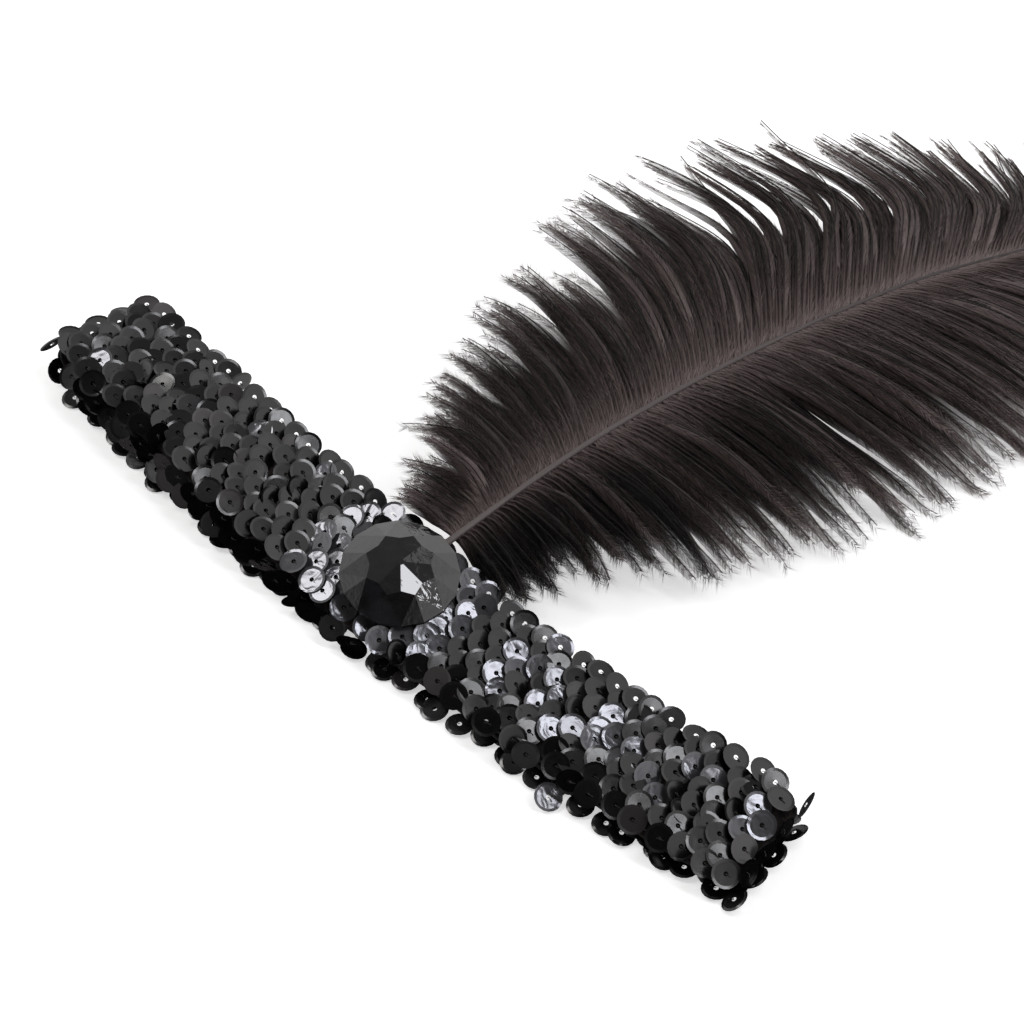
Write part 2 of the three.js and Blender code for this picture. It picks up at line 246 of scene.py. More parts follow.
class Sketch:
    """Adds nodes to one tree and joins them by the names of their sockets."""

    def __init__(self, tree: bpy.types.NodeTree) -> None:
        """Starts on a tree."""
        self.tree = tree

    def node(self, kind: str, inputs: dict[str | int, Any] | None = None, **settings: Any) -> Any:
        """Adds a node.

        Args:
            kind: the node's type.
            inputs: a socket to link from, or a constant, for each input named.
            **settings: the node's own settings.

        Returns:
            The new node.
        """
        made = self.tree.nodes.new(kind)
        for key, value in settings.items():
            setattr(made, key, value)
        for key, value in (inputs or {}).items():
            if isinstance(value, Socket):
                self.tree.links.new(value, made.inputs[key])
            else:
                made.inputs[key].default_value = value
        return made

    def math(self, operation: str, *values: Any) -> Socket:
        """Adds a math node and gives its result."""
        return self.node("ShaderNodeMath", dict(enumerate(values)), operation=operation).outputs[0]

    def noise(self, place: Socket, scale: float | Socket, **settings: float) -> Socket:
        """Adds a noise pattern and gives its strength."""
        inputs = {"Vector": place, "Scale": scale, **settings}
        return self.node("ShaderNodeTexNoise", inputs).outputs["Fac"]

    def mix(self, share: Socket, first: Any, second: Any) -> Socket:
        """Mixes two colours and gives the result."""
        inputs = {0: share, 6: first, 7: second}
        return self.node("ShaderNodeMix", inputs, data_type="RGBA").outputs[2]

    def rescale(
        self, value: Socket, source: Span, target: Span = (0.0, 1.0), smooth: bool = False
    ) -> Socket:
        """Maps a number from one span to another, held level past the ends.

        Args:
            value: the number to read.
            source: the span that it is read in.
            target: the span that it is given in.
            smooth: whether it eases in and out.

        Returns:
            The new number's socket.
        """
        made = self.node(
            "ShaderNodeMapRange",
            {
                "Value": value,
                "From Min": source[0],
                "From Max": source[1],
                "To Min": target[0],
                "To Max": target[1],
            },
            interpolation_type="SMOOTHSTEP" if smooth else "LINEAR",
        )
        return made.outputs["Result"]

    def ramp(self, value: Socket, stops: list[tuple[float, Triple]]) -> Socket:
        """Turns a number into a colour.

        Args:
            value: the number to read.
            stops: places from 0 to 1 with their colours, as red, green and blue.

        Returns:
            The colour's socket.
        """
        made = self.node("ShaderNodeValToRGB", {"Fac": value})
        elements = made.color_ramp.elements
        while len(elements) < len(stops):
            elements.new(0.5)
        for element, (place, colour) in zip(elements, stops):
            element.position = place
            element.color = (*colour, 1.0)
        return made.outputs["Color"]


def shader_group(name: str, inputs: dict[str, str], outputs: dict[str, str]) -> Sketch:
    """Makes an empty shader node group with named sockets.

    Args:
        name: the group's name.
        inputs: each input's name and socket type.
        outputs: each output's name and socket type.

    Returns:
        A sketch of the group, holding its input and output nodes.
    """
    tree = bpy.data.node_groups.new(name, "ShaderNodeTree")
    for label, kind in inputs.items():
        tree.interface.new_socket(label, in_out="INPUT", socket_type=kind)
    for label, kind in outputs.items():
        tree.interface.new_socket(label, in_out="OUTPUT", socket_type=kind)
    sketch = Sketch(tree)
    sketch.source = sketch.node("NodeGroupInput")
    sketch.end = sketch.node("NodeGroupOutput")
    return sketch


def mottle_group() -> bpy.types.NodeTree:
    """Makes the uneven patches that cloth, glue and plastic share.

    Returns:
        A group that mixes two colours over patches and gives the patches as a height.
    """
    sketch = shader_group(
        "mottle",
        {
            "Vector": "NodeSocketVector",
            "Patches": "NodeSocketFloat",
            "Dark": "NodeSocketColor",
            "Light": "NodeSocketColor",
        },
        {"Color": "NodeSocketColor", "Height": "NodeSocketFloat"},
    )
    given = sketch.source.outputs
    broad = sketch.noise(given["Vector"], given["Patches"], Detail=6.0, Roughness=0.65)
    sharp = sketch.rescale(broad, (0.36, 0.66), smooth=True)
    mixed = sketch.mix(sharp, given["Dark"], given["Light"])
    sketch.tree.links.new(mixed, sketch.end.inputs["Color"])
    sketch.tree.links.new(broad, sketch.end.inputs["Height"])
    return sketch.tree


def streak_group(stretch: float = 9.0, apart: float = 57.0) -> bpy.types.NodeTree:
    """Makes the fine combed lines that run along a strand.

    Args:
        stretch: how often the lines change along a strand.
        apart: how far in the pattern two strands lie from each other.

    Returns:
        A group that reads a place along and across a strand, and gives a mask and a height.
    """
    sketch = shader_group(
        "combed_lines",
        {
            "Along": "NodeSocketFloat",
            "Across": "NodeSocketFloat",
            "Strand": "NodeSocketFloat",
            "Lines": "NodeSocketFloat",
        },
        {"Mask": "NodeSocketFloat", "Height": "NodeSocketFloat"},
    )
    given = sketch.source.outputs
    slow = sketch.math("MULTIPLY", given["Along"], stretch)
    fast = sketch.math("MULTIPLY", given["Across"], given["Lines"])
    layer = sketch.math("MULTIPLY", given["Strand"], apart)
    place = sketch.node("ShaderNodeCombineXYZ", {"X": slow, "Y": fast, "Z": layer})
    lines = sketch.noise(place.outputs[0], 1.6, Detail=4.0, Roughness=0.7)
    mask = sketch.rescale(lines, (0.3, 0.72))
    sketch.tree.links.new(mask, sketch.end.inputs["Mask"])
    sketch.tree.links.new(lines, sketch.end.inputs["Height"])
    return sketch.tree


MOTTLE = mottle_group()
STREAK = streak_group()


class Finish:
    """A finish under way: one material with its shader and the nodes that feed it."""

    def __init__(self, name: str, **constants: Any) -> None:
        """Starts a material.

        Args:
            name: the material's name.
            **constants: values set on the shader's own sockets, with _ for a space.
        """
        self.material = bpy.data.materials.new(name)
        self.material.use_nodes = True
        self.sketch = Sketch(self.material.node_tree)
        self.shader = self.material.node_tree.nodes["Principled BSDF"]
        for key, value in constants.items():
            self.shader.inputs[key.replace("_", " ")].default_value = value

    def feed(self, name: str, socket: Socket) -> None:
        """Links a socket to one of the shader's inputs."""
        self.sketch.tree.links.new(socket, self.shader.inputs[name])

    def value(self, name: str) -> Socket:
        """Reads a value that each point of the mesh carries."""
        return self.sketch.node("ShaderNodeAttribute", attribute_name=name).outputs["Fac"]

    def place(self) -> Socket:
        """Gives the place on the piece, in metres."""
        return self.sketch.node("ShaderNodeTexCoord").outputs["Object"]

    def mottle(self, patches: float, dark: Colour, light: Colour) -> tuple[Socket, Socket]:
        """Colours the material in uneven patches.

        Args:
            patches: how many patches there are to a metre.
            dark: the darker colour.
            light: the paler one.

        Returns:
            The colour, and the patches as a height.
        """
        inputs = {"Vector": self.place(), "Patches": patches, "Dark": dark, "Light": light}
        made = self.sketch.node("ShaderNodeGroup", inputs, node_tree=MOTTLE)
        self.feed("Base Color", made.outputs["Color"])
        return made.outputs["Color"], made.outputs["Height"]

    def combed(self, strand: float | Socket, lines: float, smoothest: float) -> Socket:
        """Combs fine lines along the piece, in its roughness and its surface.

        Args:
            strand: what sets one strand's lines apart from another's.
            lines: how many lines lie across a strand.
            smoothest: the roughness between the lines.

        Returns:
            The lines as a mask.
        """
        along, across = self.value("along"), self.value("across")
        inputs = {"Along": along, "Across": across, "Strand": strand, "Lines": lines}
        made = self.sketch.node("ShaderNodeGroup", inputs, node_tree=STREAK)
        rough = self.sketch.math("MULTIPLY", made.outputs["Height"], 0.3)
        self.feed("Roughness", self.sketch.math("ADD", rough, smoothest))
        self.bump(made.outputs["Height"], strength=0.5, depth=0.0002)
        return made.outputs["Mask"]

    def bump(self, height: Socket, strength: float, depth: float) -> None:
        """Raises the surface.

        Args:
            height: the height, 0 to 1.
            strength: how much of it is felt.
            depth: how far 1 stands out, in metres.
        """
        made = self.sketch.node(
            "ShaderNodeBump", {"Height": height, "Strength": strength, "Distance": depth}
        )
        self.feed("Normal", made.outputs["Normal"])


@dataclass(frozen=True)
class SequinFinish:
    """Satin black film, with a few crinkled mirror-bright discs, and paler discs whose paler colour
    is a painted reflection.
    """

    black: Triple = (0.0022, 0.002, 0.0022)
    # Painted reflection: a random few discs get a paler base colour that stands in for the brighter
    # surroundings they would mirror.
    painted_pale_reflection: Triple = (0.04, 0.036, 0.036)
    silver: Colour = (0.135, 0.136, 0.149, 1.0)
    silver_metallic: float = 0.7
    satin: float = 0.14
    mirror: float = 0.09
    scuff_size: float = 900.0
    scuff_depth: float = 0.12
    crinkle_size: float = 260.0
    crinkle_depth: float = 0.0002

    def make(self) -> bpy.types.Material:
        """Makes the material.

        Returns:
            The material.
        """
        finish = Finish("sequin_film", IOR=1.62)
        sketch = finish.sketch
        # The discs with the highest shade take the painted pale reflection colour.
        stops = [(0.0, self.black), (0.85, self.black), (1.0, self.painted_pale_reflection)]
        film = sketch.ramp(finish.value("shade"), stops)
        creased = sketch.rescale(finish.value("crease"), (0.55, 0.8))
        scuff = sketch.noise(finish.place(), self.scuff_size, Detail=3.0)
        polish = sketch.rescale(creased, (0.0, 1.0), (self.satin, self.mirror))
        uneven = sketch.math("MULTIPLY", scuff, self.scuff_depth)
        finish.feed("Roughness", sketch.math("ADD", uneven, polish))
        finish.feed("Base Color", sketch.mix(creased, film, self.silver))
        finish.feed("Metallic", sketch.math("MULTIPLY", creased, self.silver_metallic))
        crinkle = sketch.noise(finish.place(), self.crinkle_size, Detail=1.5, Distortion=1.4)
        folds = sketch.math("MULTIPLY", crinkle, creased)
        finish.bump(folds, strength=0.6, depth=self.crinkle_depth)
        return finish.material


@dataclass(frozen=True)
class NetFinish:
    """Brown-black stretch net with an open crossed mesh."""

    dark: Colour = (0.0015, 0.0013, 0.0013, 1.0)
    light: Colour = (0.016, 0.011, 0.0095, 1.0)
    patches: float = 520.0
    mesh_pitch: float = 0.0008

    def make(self) -> bpy.types.Material:
        """Makes the material.

        Returns:
            The material.
        """
        finish = Finish("stretch_net", Roughness=0.85, Specular_IOR_Level=0.1, Sheen_Weight=0.05)
        height = finish.mottle(self.patches, self.dark, self.light)[1]
        cells = finish.sketch.node(
            "ShaderNodeTexVoronoi",
            {"Vector": finish.place(), "Scale": 1 / self.mesh_pitch},
            feature="DISTANCE_TO_EDGE",
        )
        height = finish.sketch.math("SUBTRACT", height, cells.outputs["Distance"])
        finish.bump(height, strength=0.7, depth=0.0003)
        return finish.material


@dataclass(frozen=True)
class ThreadFinish:
    """Dull black sewing thread."""

    dark: Colour = (0.002, 0.002, 0.002, 1.0)
    light: Colour = (0.012, 0.011, 0.011, 1.0)
    patches: float = 2600.0

    def make(self) -> bpy.types.Material:
        """Makes the material.

        Returns:
            The material.
        """
        finish = Finish("sewing_thread", Roughness=0.6, Sheen_Weight=0.2)
        height = finish.mottle(self.patches, self.dark, self.light)[1]
        finish.bump(height, strength=0.4, depth=0.00005)
        return finish.material


@dataclass(frozen=True)
class StoneFinish:
    """Polished jet-black glass, with faint clouds under the polish."""

    dark: Colour = (0.0015, 0.0015, 0.002, 1.0)
    light: Colour = (0.008, 0.007, 0.009, 1.0)
    patches: float = 160.0
    roughest: float = 0.07
    flaw_size: float = 380.0

    def make(self) -> bpy.types.Material:
        """Makes the material.

        Returns:
            The material.
        """
        finish = Finish("jet_glass", IOR=1.85)
        height = finish.mottle(self.patches, self.dark, self.light)[1]
        finish.feed("Roughness", finish.sketch.math("MULTIPLY", height, self.roughest))
        flaws = finish.sketch.noise(finish.place(), self.flaw_size, Detail=2.0, Distortion=2.0)
        finish.bump(flaws, strength=0.16, depth=0.0003)
        return finish.material


@dataclass(frozen=True)
class GlueFinish:
    """Dark hardened glue."""

    dark: Colour = (0.008, 0.007, 0.008, 1.0)
    light: Colour = (0.028, 0.025, 0.026, 1.0)
    patches: float = 300.0

    def make(self) -> bpy.types.Material:
        """Makes the material.

        Returns:
            The material.
        """
        finish = Finish("hard_glue", Roughness=0.4, IOR=1.5)
        height = finish.mottle(self.patches, self.dark, self.light)[1]
        finish.bump(height, strength=0.6, depth=0.0003)
        return finish.material


@dataclass(frozen=True)
class BarbFinish:
    """Dyed plume barbs, brown-black with paler combed lines and a soft sheen; painted sheen near
    the shaft, and painted highlights and shade in each barb's tone.
    """

    shadow: Triple = (0.0022, 0.0014, 0.0013)
    body: Triple = (0.066, 0.045, 0.0435)
    edge: Triple = (0.27, 0.215, 0.21)
    lines: float = 5.0
    lines_share: float = 0.45
    # Painted sheen: the barbs are paler near the shaft, where they catch light from above.
    root_painted_sheen: float = 0.56
    root_painted_sheen_end: float = 0.42
    pale_fringe: float = 0.26
    pale_fringe_start: float = 0.65
    veil_share: float = 0.97

    def make(self) -> bpy.types.Material:
        """Makes the material.

        Returns:
            The material.
        """
        finish = Finish(
            "plume_barbs",
            Specular_IOR_Level=0.18,
            Sheen_Weight=0.1,
            Sheen_Roughness=0.45,
            Sheen_Tint=(0.75, 0.68, 0.66, 1.0),
        )
        sketch = finish.sketch
        along, shade = finish.value("along"), finish.value("shade")
        mask = finish.combed(shade, self.lines, smoothest=0.42)
        drawn = sketch.math("MULTIPLY", mask, self.lines_share)
        tone = sketch.math("ADD", drawn, sketch.math("MULTIPLY", shade, 1 - self.lines_share))
        # Painted sheen near the shaft, fading outward.
        root = sketch.rescale(along, (0.0, self.root_painted_sheen_end), (self.root_painted_sheen, 0.0), smooth=True)
        tone = sketch.math("ADD", tone, root)
        fringe = sketch.rescale(
            along, (self.pale_fringe_start, 1.0), (0.0, self.pale_fringe), smooth=True
        )
        tone = sketch.math("ADD", tone, fringe)
        # The lowest tones hold the painted shade at the base; the highest hold the painted
        # highlights towards the tips and on sleek strands.
        colour = sketch.ramp(tone, [(0.12, self.shadow), (0.55, self.body), (1.0, self.edge)])
        finish.feed("Base Color", colour)
        thin = sketch.math("SUBTRACT", self.veil_share, drawn)
        lost = sketch.math("MULTIPLY", finish.value("veil"), thin)
        finish.feed("Alpha", sketch.math("SUBTRACT", 1.0, lost))
        return finish.material


@dataclass(frozen=True)
class ShaftFinish:
    """The plume's shaft: pale grey-brown horn that darkens towards its tip."""

    root: Triple = (0.12, 0.1, 0.095)
    middle: Triple = (0.095, 0.075, 0.073)
    tip: Triple = (0.03, 0.023, 0.022)
    lines: float = 14.0

    def make(self) -> bpy.types.Material:
        """Makes the material.

        Returns:
            The material.
        """
        finish = Finish("plume_shaft", Specular_IOR_Level=0.45, Coat_Weight=0.1, Coat_Roughness=0.3)
        sketch = finish.sketch
        mask = finish.combed(0.3, self.lines, smoothest=0.35)
        stops = [(0.0, self.root), (0.5, self.middle), (0.82, self.tip)]
        horn = sketch.ramp(finish.value("along"), stops)
        grain = sketch.math("ADD", sketch.math("MULTIPLY", mask, 0.5), 0.7)
        mixed = sketch.node("ShaderNodeVectorMath", {0: horn, "Scale": grain}, operation="SCALE")
        finish.feed("Base Color", mixed.outputs[0])
        return finish.material


@dataclass(frozen=True)
class FloorFinish:
    """A plain pale studio floor, lit a little from below."""

    dark: Colour = (0.88, 0.88, 0.88, 1.0)
    light: Colour = (0.9, 0.9, 0.9, 1.0)
    patches: float = 3.0
    lit_from_below: float = 0.6

    def make(self) -> bpy.types.Material:
        """Makes the material.

        Returns:
            The material.
        """
        finish = Finish(
            "studio_floor",
            Roughness=0.9,
            Specular_IOR_Level=0.1,
            Emission_Strength=self.lit_from_below,
        )
        colour = finish.mottle(self.patches, self.dark, self.light)[0]
        finish.feed("Emission Color", colour)
        return finish.material


# Pattern trees


class PatternTree(Sketch):
    """A geometry node tree that grows one piece on a carrier and is then done with."""

    def __init__(self, name: str, inputs: dict[str, str]) -> None:
        """Makes the tree's sockets.

        Args:
            name: the tree's name.
            inputs: the name and socket type of each input beside Geometry and Finish.
        """
        super().__init__(bpy.data.node_groups.new(name, "GeometryNodeTree"))
        sockets = {"Geometry": "NodeSocketGeometry", **inputs, "Finish": "NodeSocketMaterial"}
        for label, kind in sockets.items():
            self.tree.interface.new_socket(label, in_out="INPUT", socket_type=kind)
        output = {"in_out": "OUTPUT", "socket_type": "NodeSocketGeometry"}
        self.tree.interface.new_socket("Geometry", **output)
        self.given = self.node("NodeGroupInput").outputs
        self.end = self.node("NodeGroupOutput")

    def carried(self, name: str, data_type: str = "FLOAT") -> Socket:
        """Reads a value that the carrier's points hold."""
        made = self.node("GeometryNodeInputNamedAttribute", {"Name": name}, data_type=data_type)
        return made.outputs["Attribute"]

    def stand(self, part: Socket, rotation: Socket, scale: Socket) -> None:
        """Ends the tree with one part on every point.

        Args:
            part: the part's geometry.
            rotation: how each one is turned.
            scale: how each one is sized.
        """
        spread = self.node(
            "GeometryNodeInstanceOnPoints",
            {
                "Points": self.given["Geometry"],
                "Instance": part,
                "Rotation": rotation,
                "Scale": scale,
            },
        )
        self.close(spread.outputs[0])

    def close(self, geometry: Socket) -> None:
        """Ends the tree: real meshes with their finish.

        Args:
            geometry: what the tree has grown.
        """
        real = self.node("GeometryNodeRealizeInstances", {"Geometry": geometry})
        smooth = self.node("GeometryNodeSetShadeSmooth", {"Geometry": real.outputs[0]})
        dressed = self.node(
            "GeometryNodeSetMaterial",
            {"Geometry": smooth.outputs[0], "Material": self.given["Finish"]},
        )
        self.tree.links.new(dressed.outputs[0], self.end.inputs[0])

    def grow(self, base: Piece, name: str, values: dict[str, Any]) -> Piece:
        """Grows the pattern and leaves it as a plain mesh.

        Args:
            base: the carrier, which is removed.
            name: the new piece's name.
            values: a value for each named input.

        Returns:
            The new piece.
        """
        modifier = base.modifiers.new("pattern", "NODES")
        modifier.node_group = self.tree
        for item in self.tree.interface.items_tree:
            if item.in_out == "INPUT" and item.name in values:
                modifier[item.identifier] = values[item.name]
        bpy.context.view_layer.update()
        graph = bpy.context.evaluated_depsgraph_get()
        mesh = bpy.data.meshes.new_from_object(
            base.evaluated_get(graph), preserve_all_data_layers=True, depsgraph=graph
        )
        mesh.name = name
        base.modifiers.remove(modifier)
        bpy.data.objects.remove(base)
        return place_object(name, mesh)


def scatter_tree() -> PatternTree:
    """Makes the tree that sets one small part on every point, with a seeded unevenness.

    Returns:
        A tree with the inputs Part, Tilt, Shrink and Seed. Its points carry facing, heading
        and looseness.
    """
    tree = PatternTree(
        "sewn_field",
        {
            "Part": "NodeSocketObject",
            "Tilt": "NodeSocketFloat",
            "Shrink": "NodeSocketFloat",
            "Seed": "NodeSocketInt",
        },
    )
    seated = tree.node(
        "FunctionNodeAxesToRotation",
        {
            "Primary Axis": tree.carried("facing", "FLOAT_VECTOR"),
            "Secondary Axis": tree.carried("heading", "FLOAT_VECTOR"),
        },
        primary_axis="Z",
        secondary_axis="X",
    )
    swing = tree.math("MULTIPLY", tree.given["Tilt"], tree.carried("looseness"))
    back = tree.math("MULTIPLY", swing, -1.0)
    low = tree.node("ShaderNodeCombineXYZ", {"X": back, "Y": back, "Z": back})
    high = tree.node("ShaderNodeCombineXYZ", {"X": swing, "Y": swing, "Z": swing})
    angles = tree.node(
        "FunctionNodeRandomValue",
        {0: low.outputs[0], 1: high.outputs[0], "Seed": tree.given["Seed"]},
        data_type="FLOAT_VECTOR",
    )
    spin = tree.node("FunctionNodeEulerToRotation", {"Euler": angles.outputs[0]})
    loose = tree.node(
        "FunctionNodeRotateRotation",
        {"Rotation": seated.outputs[0], "Rotate By": spin.outputs[0]},
        rotation_space="LOCAL",
    )
    smallest = tree.math("SUBTRACT", 1.0, tree.given["Shrink"])
    size = tree.node(
        "FunctionNodeRandomValue",
        {2: smallest, 3: 1.0, "Seed": tree.given["Seed"]},
        data_type="FLOAT",
    )
    part = tree.node("GeometryNodeObjectInfo", {"Object": tree.given["Part"]})
    tree.stand(part.outputs["Geometry"], loose.outputs[0], size.outputs[1])
    return tree


def bristle_tree() -> PatternTree:
    """Makes the tree that stands one fine three-sided hair on every point.

    Returns:
        A tree with the input Root Radius. Its points carry aim and reach.
    """
    tree = PatternTree("bristles", {"Root Radius": "NodeSocketFloat"})
    hair = tree.node(
        "GeometryNodeMeshCone",
        {"Vertices": 3, "Radius Top": 0.0, "Radius Bottom": 1.0, "Depth": 1.0},
        fill_type="NONE",
    )
    aimed = tree.node(
        "FunctionNodeAlignRotationToVector",
        {"Vector": tree.carried("aim", "FLOAT_VECTOR")},
        axis="Z",
    )
    wide = tree.given["Root Radius"]
    size = tree.node("ShaderNodeCombineXYZ", {"X": wide, "Y": wide, "Z": tree.carried("reach")})
    tree.stand(hair.outputs["Mesh"], aimed.outputs[0], size.outputs[0])
    return tree


def ribbon_tree() -> PatternTree:
    """Makes the tree that gives every line a flat diamond section.

    Returns:
        A tree with the input Flatness. Its points carry half_width and lean.
    """
    tree = PatternTree("ribbons", {"Flatness": "NodeSocketFloat"})
    lines = tree.node("GeometryNodeMeshToCurve", {"Mesh": tree.given["Geometry"]})
    level = tree.node("GeometryNodeSetCurveNormal", {"Curve": lines.outputs[0]}, mode="Z_UP")
    leaning = tree.node(
        "GeometryNodeSetCurveTilt", {"Curve": level.outputs[0], "Tilt": tree.carried("lean")}
    )
    top = tree.node("ShaderNodeCombineXYZ", {"Y": tree.given["Flatness"]})
    low = tree.math("MULTIPLY", tree.given["Flatness"], -1.0)
    bottom = tree.node("ShaderNodeCombineXYZ", {"Y": low})
    section = tree.node(
        "GeometryNodeCurvePrimitiveQuadrilateral",
        {
            "Point 1": (1.0, 0.0, 0.0),
            "Point 2": top.outputs[0],
            "Point 3": (-1.0, 0.0, 0.0),
            "Point 4": bottom.outputs[0],
        },
        mode="POINTS",
    )
    place = tree.node("GeometryNodeInputPosition")
    sides = tree.node("ShaderNodeSeparateXYZ", {0: place.outputs[0]})
    marked = tree.node(
        "GeometryNodeStoreNamedAttribute",
        {"Geometry": section.outputs[0], "Name": "across", "Value": sides.outputs["X"]},
        data_type="FLOAT",
        domain="POINT",
    )
    solid = tree.node(
        "GeometryNodeCurveToMesh",
        {
            "Curve": leaning.outputs[0],
            "Profile Curve": marked.outputs[0],
            "Scale": tree.carried("half_width"),
            "Fill Caps": True,
        },
    )
    tree.close(solid.outputs[0])
    return tree


# Band


RISE_PLACES = (-1.0, -0.6, -0.3, 0.0, 0.4, 0.8, 1.0)


@dataclass(frozen=True)
class BandShape:
    """The pressed loop: the net's outer face round both runs and both folds."""

    reach: float = 0.104
    half_spread: float = 0.012
    loft: float = 0.0087
    fold_depth_share: float = 0.56
    bow: float = 0.007
    face_height: float = 0.0022
    near_rise: Profile = Profile(RISE_PLACES, (1.08, 1.12, 1.06, 0.56, 0.42, 0.4, 0.4))
    far_rise: Profile = Profile(RISE_PLACES, (0.78, 0.95, 0.94, 0.85, 0.6, 0.62, 0.75))
    left_fold: Span = (1.01, 0.995)
    right_fold: Span = (1.015, 0.97)
    hem_share: float = 0.52
    hem_radius: float = 0.0012
    hem_start: Span = (0.0, 0.06)
    hem_end: Span = (0.42, 0.6)
    probe: float = 0.004

    def rise(self, along: Array, across: Array) -> Array:
        """The upper run's height over the lower one, as a share of the loft."""
        near = self.near_rise.read(along)
        return near + (self.far_rise.read(along) - near) * (across + 1) / 2

    def hem(self, around: Array) -> Array:
        """How far the near edge curls down, on the left half of the upper run only."""
        place = np.mod(around, 4.0)
        return self.hem_share * ease(*self.hem_start, place) * (1 - ease(*self.hem_end, place))

    def point(self, around: Array, across: Array) -> Array:
        """Places on the net's outer face.

        Args:
            around: 0 to 1 on the upper run from left to right, 1 to 2 round the right fold,
                2 to 3 on the lower run and 3 to 4 round the left fold.
            across: -1 at the near edge row to 1 at the far one, and below -1 on the hem.

        Returns:
            Rows of three.
        """
        around, across = np.broadcast_arrays(np.asarray(around, float), np.asarray(across, float))
        down = np.maximum(-1 - across, 0.0) * self.half_spread
        across = np.maximum(across, -1.0)
        place = np.mod(around, 4.0)
        part = np.floor(place)
        turn = (place - part) * math.pi
        upper, right, lower, left = (part == number for number in range(4))
        along = np.select([upper, right, lower], [2 * place - 1, 1.0, 5 - 2 * place], -1.0)
        bulge = np.select([right, left], [np.sin(turn), -np.sin(turn)], 0.0)
        halves = [1.0, (1 + np.cos(turn)) / 2, (1 - np.cos(turn)) / 2]
        height = np.select([upper, right, left], halves, 0.0)
        side = np.where(along > 0, 1.0, -1.0)
        near = np.where(side > 0, self.right_fold[0], self.left_fold[0])
        far = np.where(side > 0, self.right_fold[1], self.left_fold[1])
        reach = self.reach * (near + (far - near) * (across + 1) / 2)
        depth = self.fold_depth_share * self.loft * self.rise(side, across)
        x = along * (reach - depth) + bulge * depth
        y = across * self.half_spread + self.bow * (x / self.reach) ** 2
        z = self.face_height + self.loft * self.rise(along, across) * height
        curl = np.minimum(down / self.hem_radius, math.pi / 2)
        y = y - self.hem_radius * np.sin(curl)
        z = z - self.hem_radius * (1 - np.cos(curl)) - (down - curl * self.hem_radius)
        return np.stack([x, y, z], axis=-1)

    def heading(self, around: Array, across: Array) -> Array:
        """The direction round the loop."""
        ahead = self.point(around + self.probe, across)
        return unit(ahead - self.point(around - self.probe, across))

    def facing(self, around: Array, across: Array) -> Array:
        """Finds which way the net faces, straight down on the whole lower run.

        Args:
            around: places round the loop.
            across: places across it.

        Returns:
            Unit vectors, as rows of three.
        """
        wide = self.point(around, across + self.probe) - self.point(around, across - self.probe)
        normal = unit(np.cross(self.heading(around, across), wide))
        lower = (np.mod(around, 4.0) >= 2) & (np.mod(around, 4.0) <= 3)
        return np.where(lower[..., None], np.array([0.0, 0.0, -1.0]), normal)

    def measured(self, samples: int) -> tuple[Array, Array]:
        """Measures the way round the loop.

        Args:
            samples: how many places are measured.

        Returns:
            The places, and how far round each one lies, in metres.
        """
        places = np.linspace(0.0, 4.0, samples)
        steps = np.linalg.norm(np.diff(self.point(places, 0.0 * places), axis=0), axis=1)
        return places, np.concatenate([[0.0], np.cumsum(steps)])

    def even_places(self, count: int, start: float = 0.0) -> Array:
        """Places round the loop with even steps between them.

        Args:
            count: how many places.
            start: the first one's offset, in steps.

        Returns:
            Their values of around.
        """
        places, run = self.measured(4001)
        wanted = np.mod(np.arange(count) + start, count) / count * run[-1]
        return np.interp(wanted, run, places)


@dataclass
class NetBand:
    """The stretch net that the sequins are sewn on."""

    shape: BandShape
    wall: float = 0.001
    columns: int = 380
    rows: int = 22
    edge_share: float = 0.94
    crumple: float = 0.00035
    long_gathers: float = 61.0
    short_gathers: float = 143.0
    cross_gathers: float = 21.0
    flat_width: float = 0.026
    flat_length: float = 0.428

    def build(self) -> Piece:
        """Makes the loop as one thin closed wall with small gathers.

        Returns:
            The net piece.
        """
        around = self.shape.even_places(self.columns)[:, None]
        share = np.linspace(0.0, 1.0, self.rows + 1)[None, :]
        low = -self.edge_share - self.shape.hem(around)
        across = low + (self.edge_share - low) * share
        outer = self.shape.point(around, across)
        out = self.shape.facing(around + 0 * across, across)
        wave = np.sin(around * self.long_gathers + across * 7)
        wave = wave + np.sin(around * self.short_gathers - across * 15 + 1.3)
        wave = wave + 0.8 * np.sin(across * self.cross_gathers + np.sin(around * 37) * 2)
        outer = outer + out * (wave * self.crumple / 2.8 - self.crumple)[..., None]
        inner = outer - out * self.wall
        rings = np.concatenate([outer, inner[:, ::-1]], axis=1)
        piece = mesh_object("net", *loft(rings, closed=True))
        piece.data.shade_smooth()
        piece.data.materials.append(NetFinish().make())
        return piece


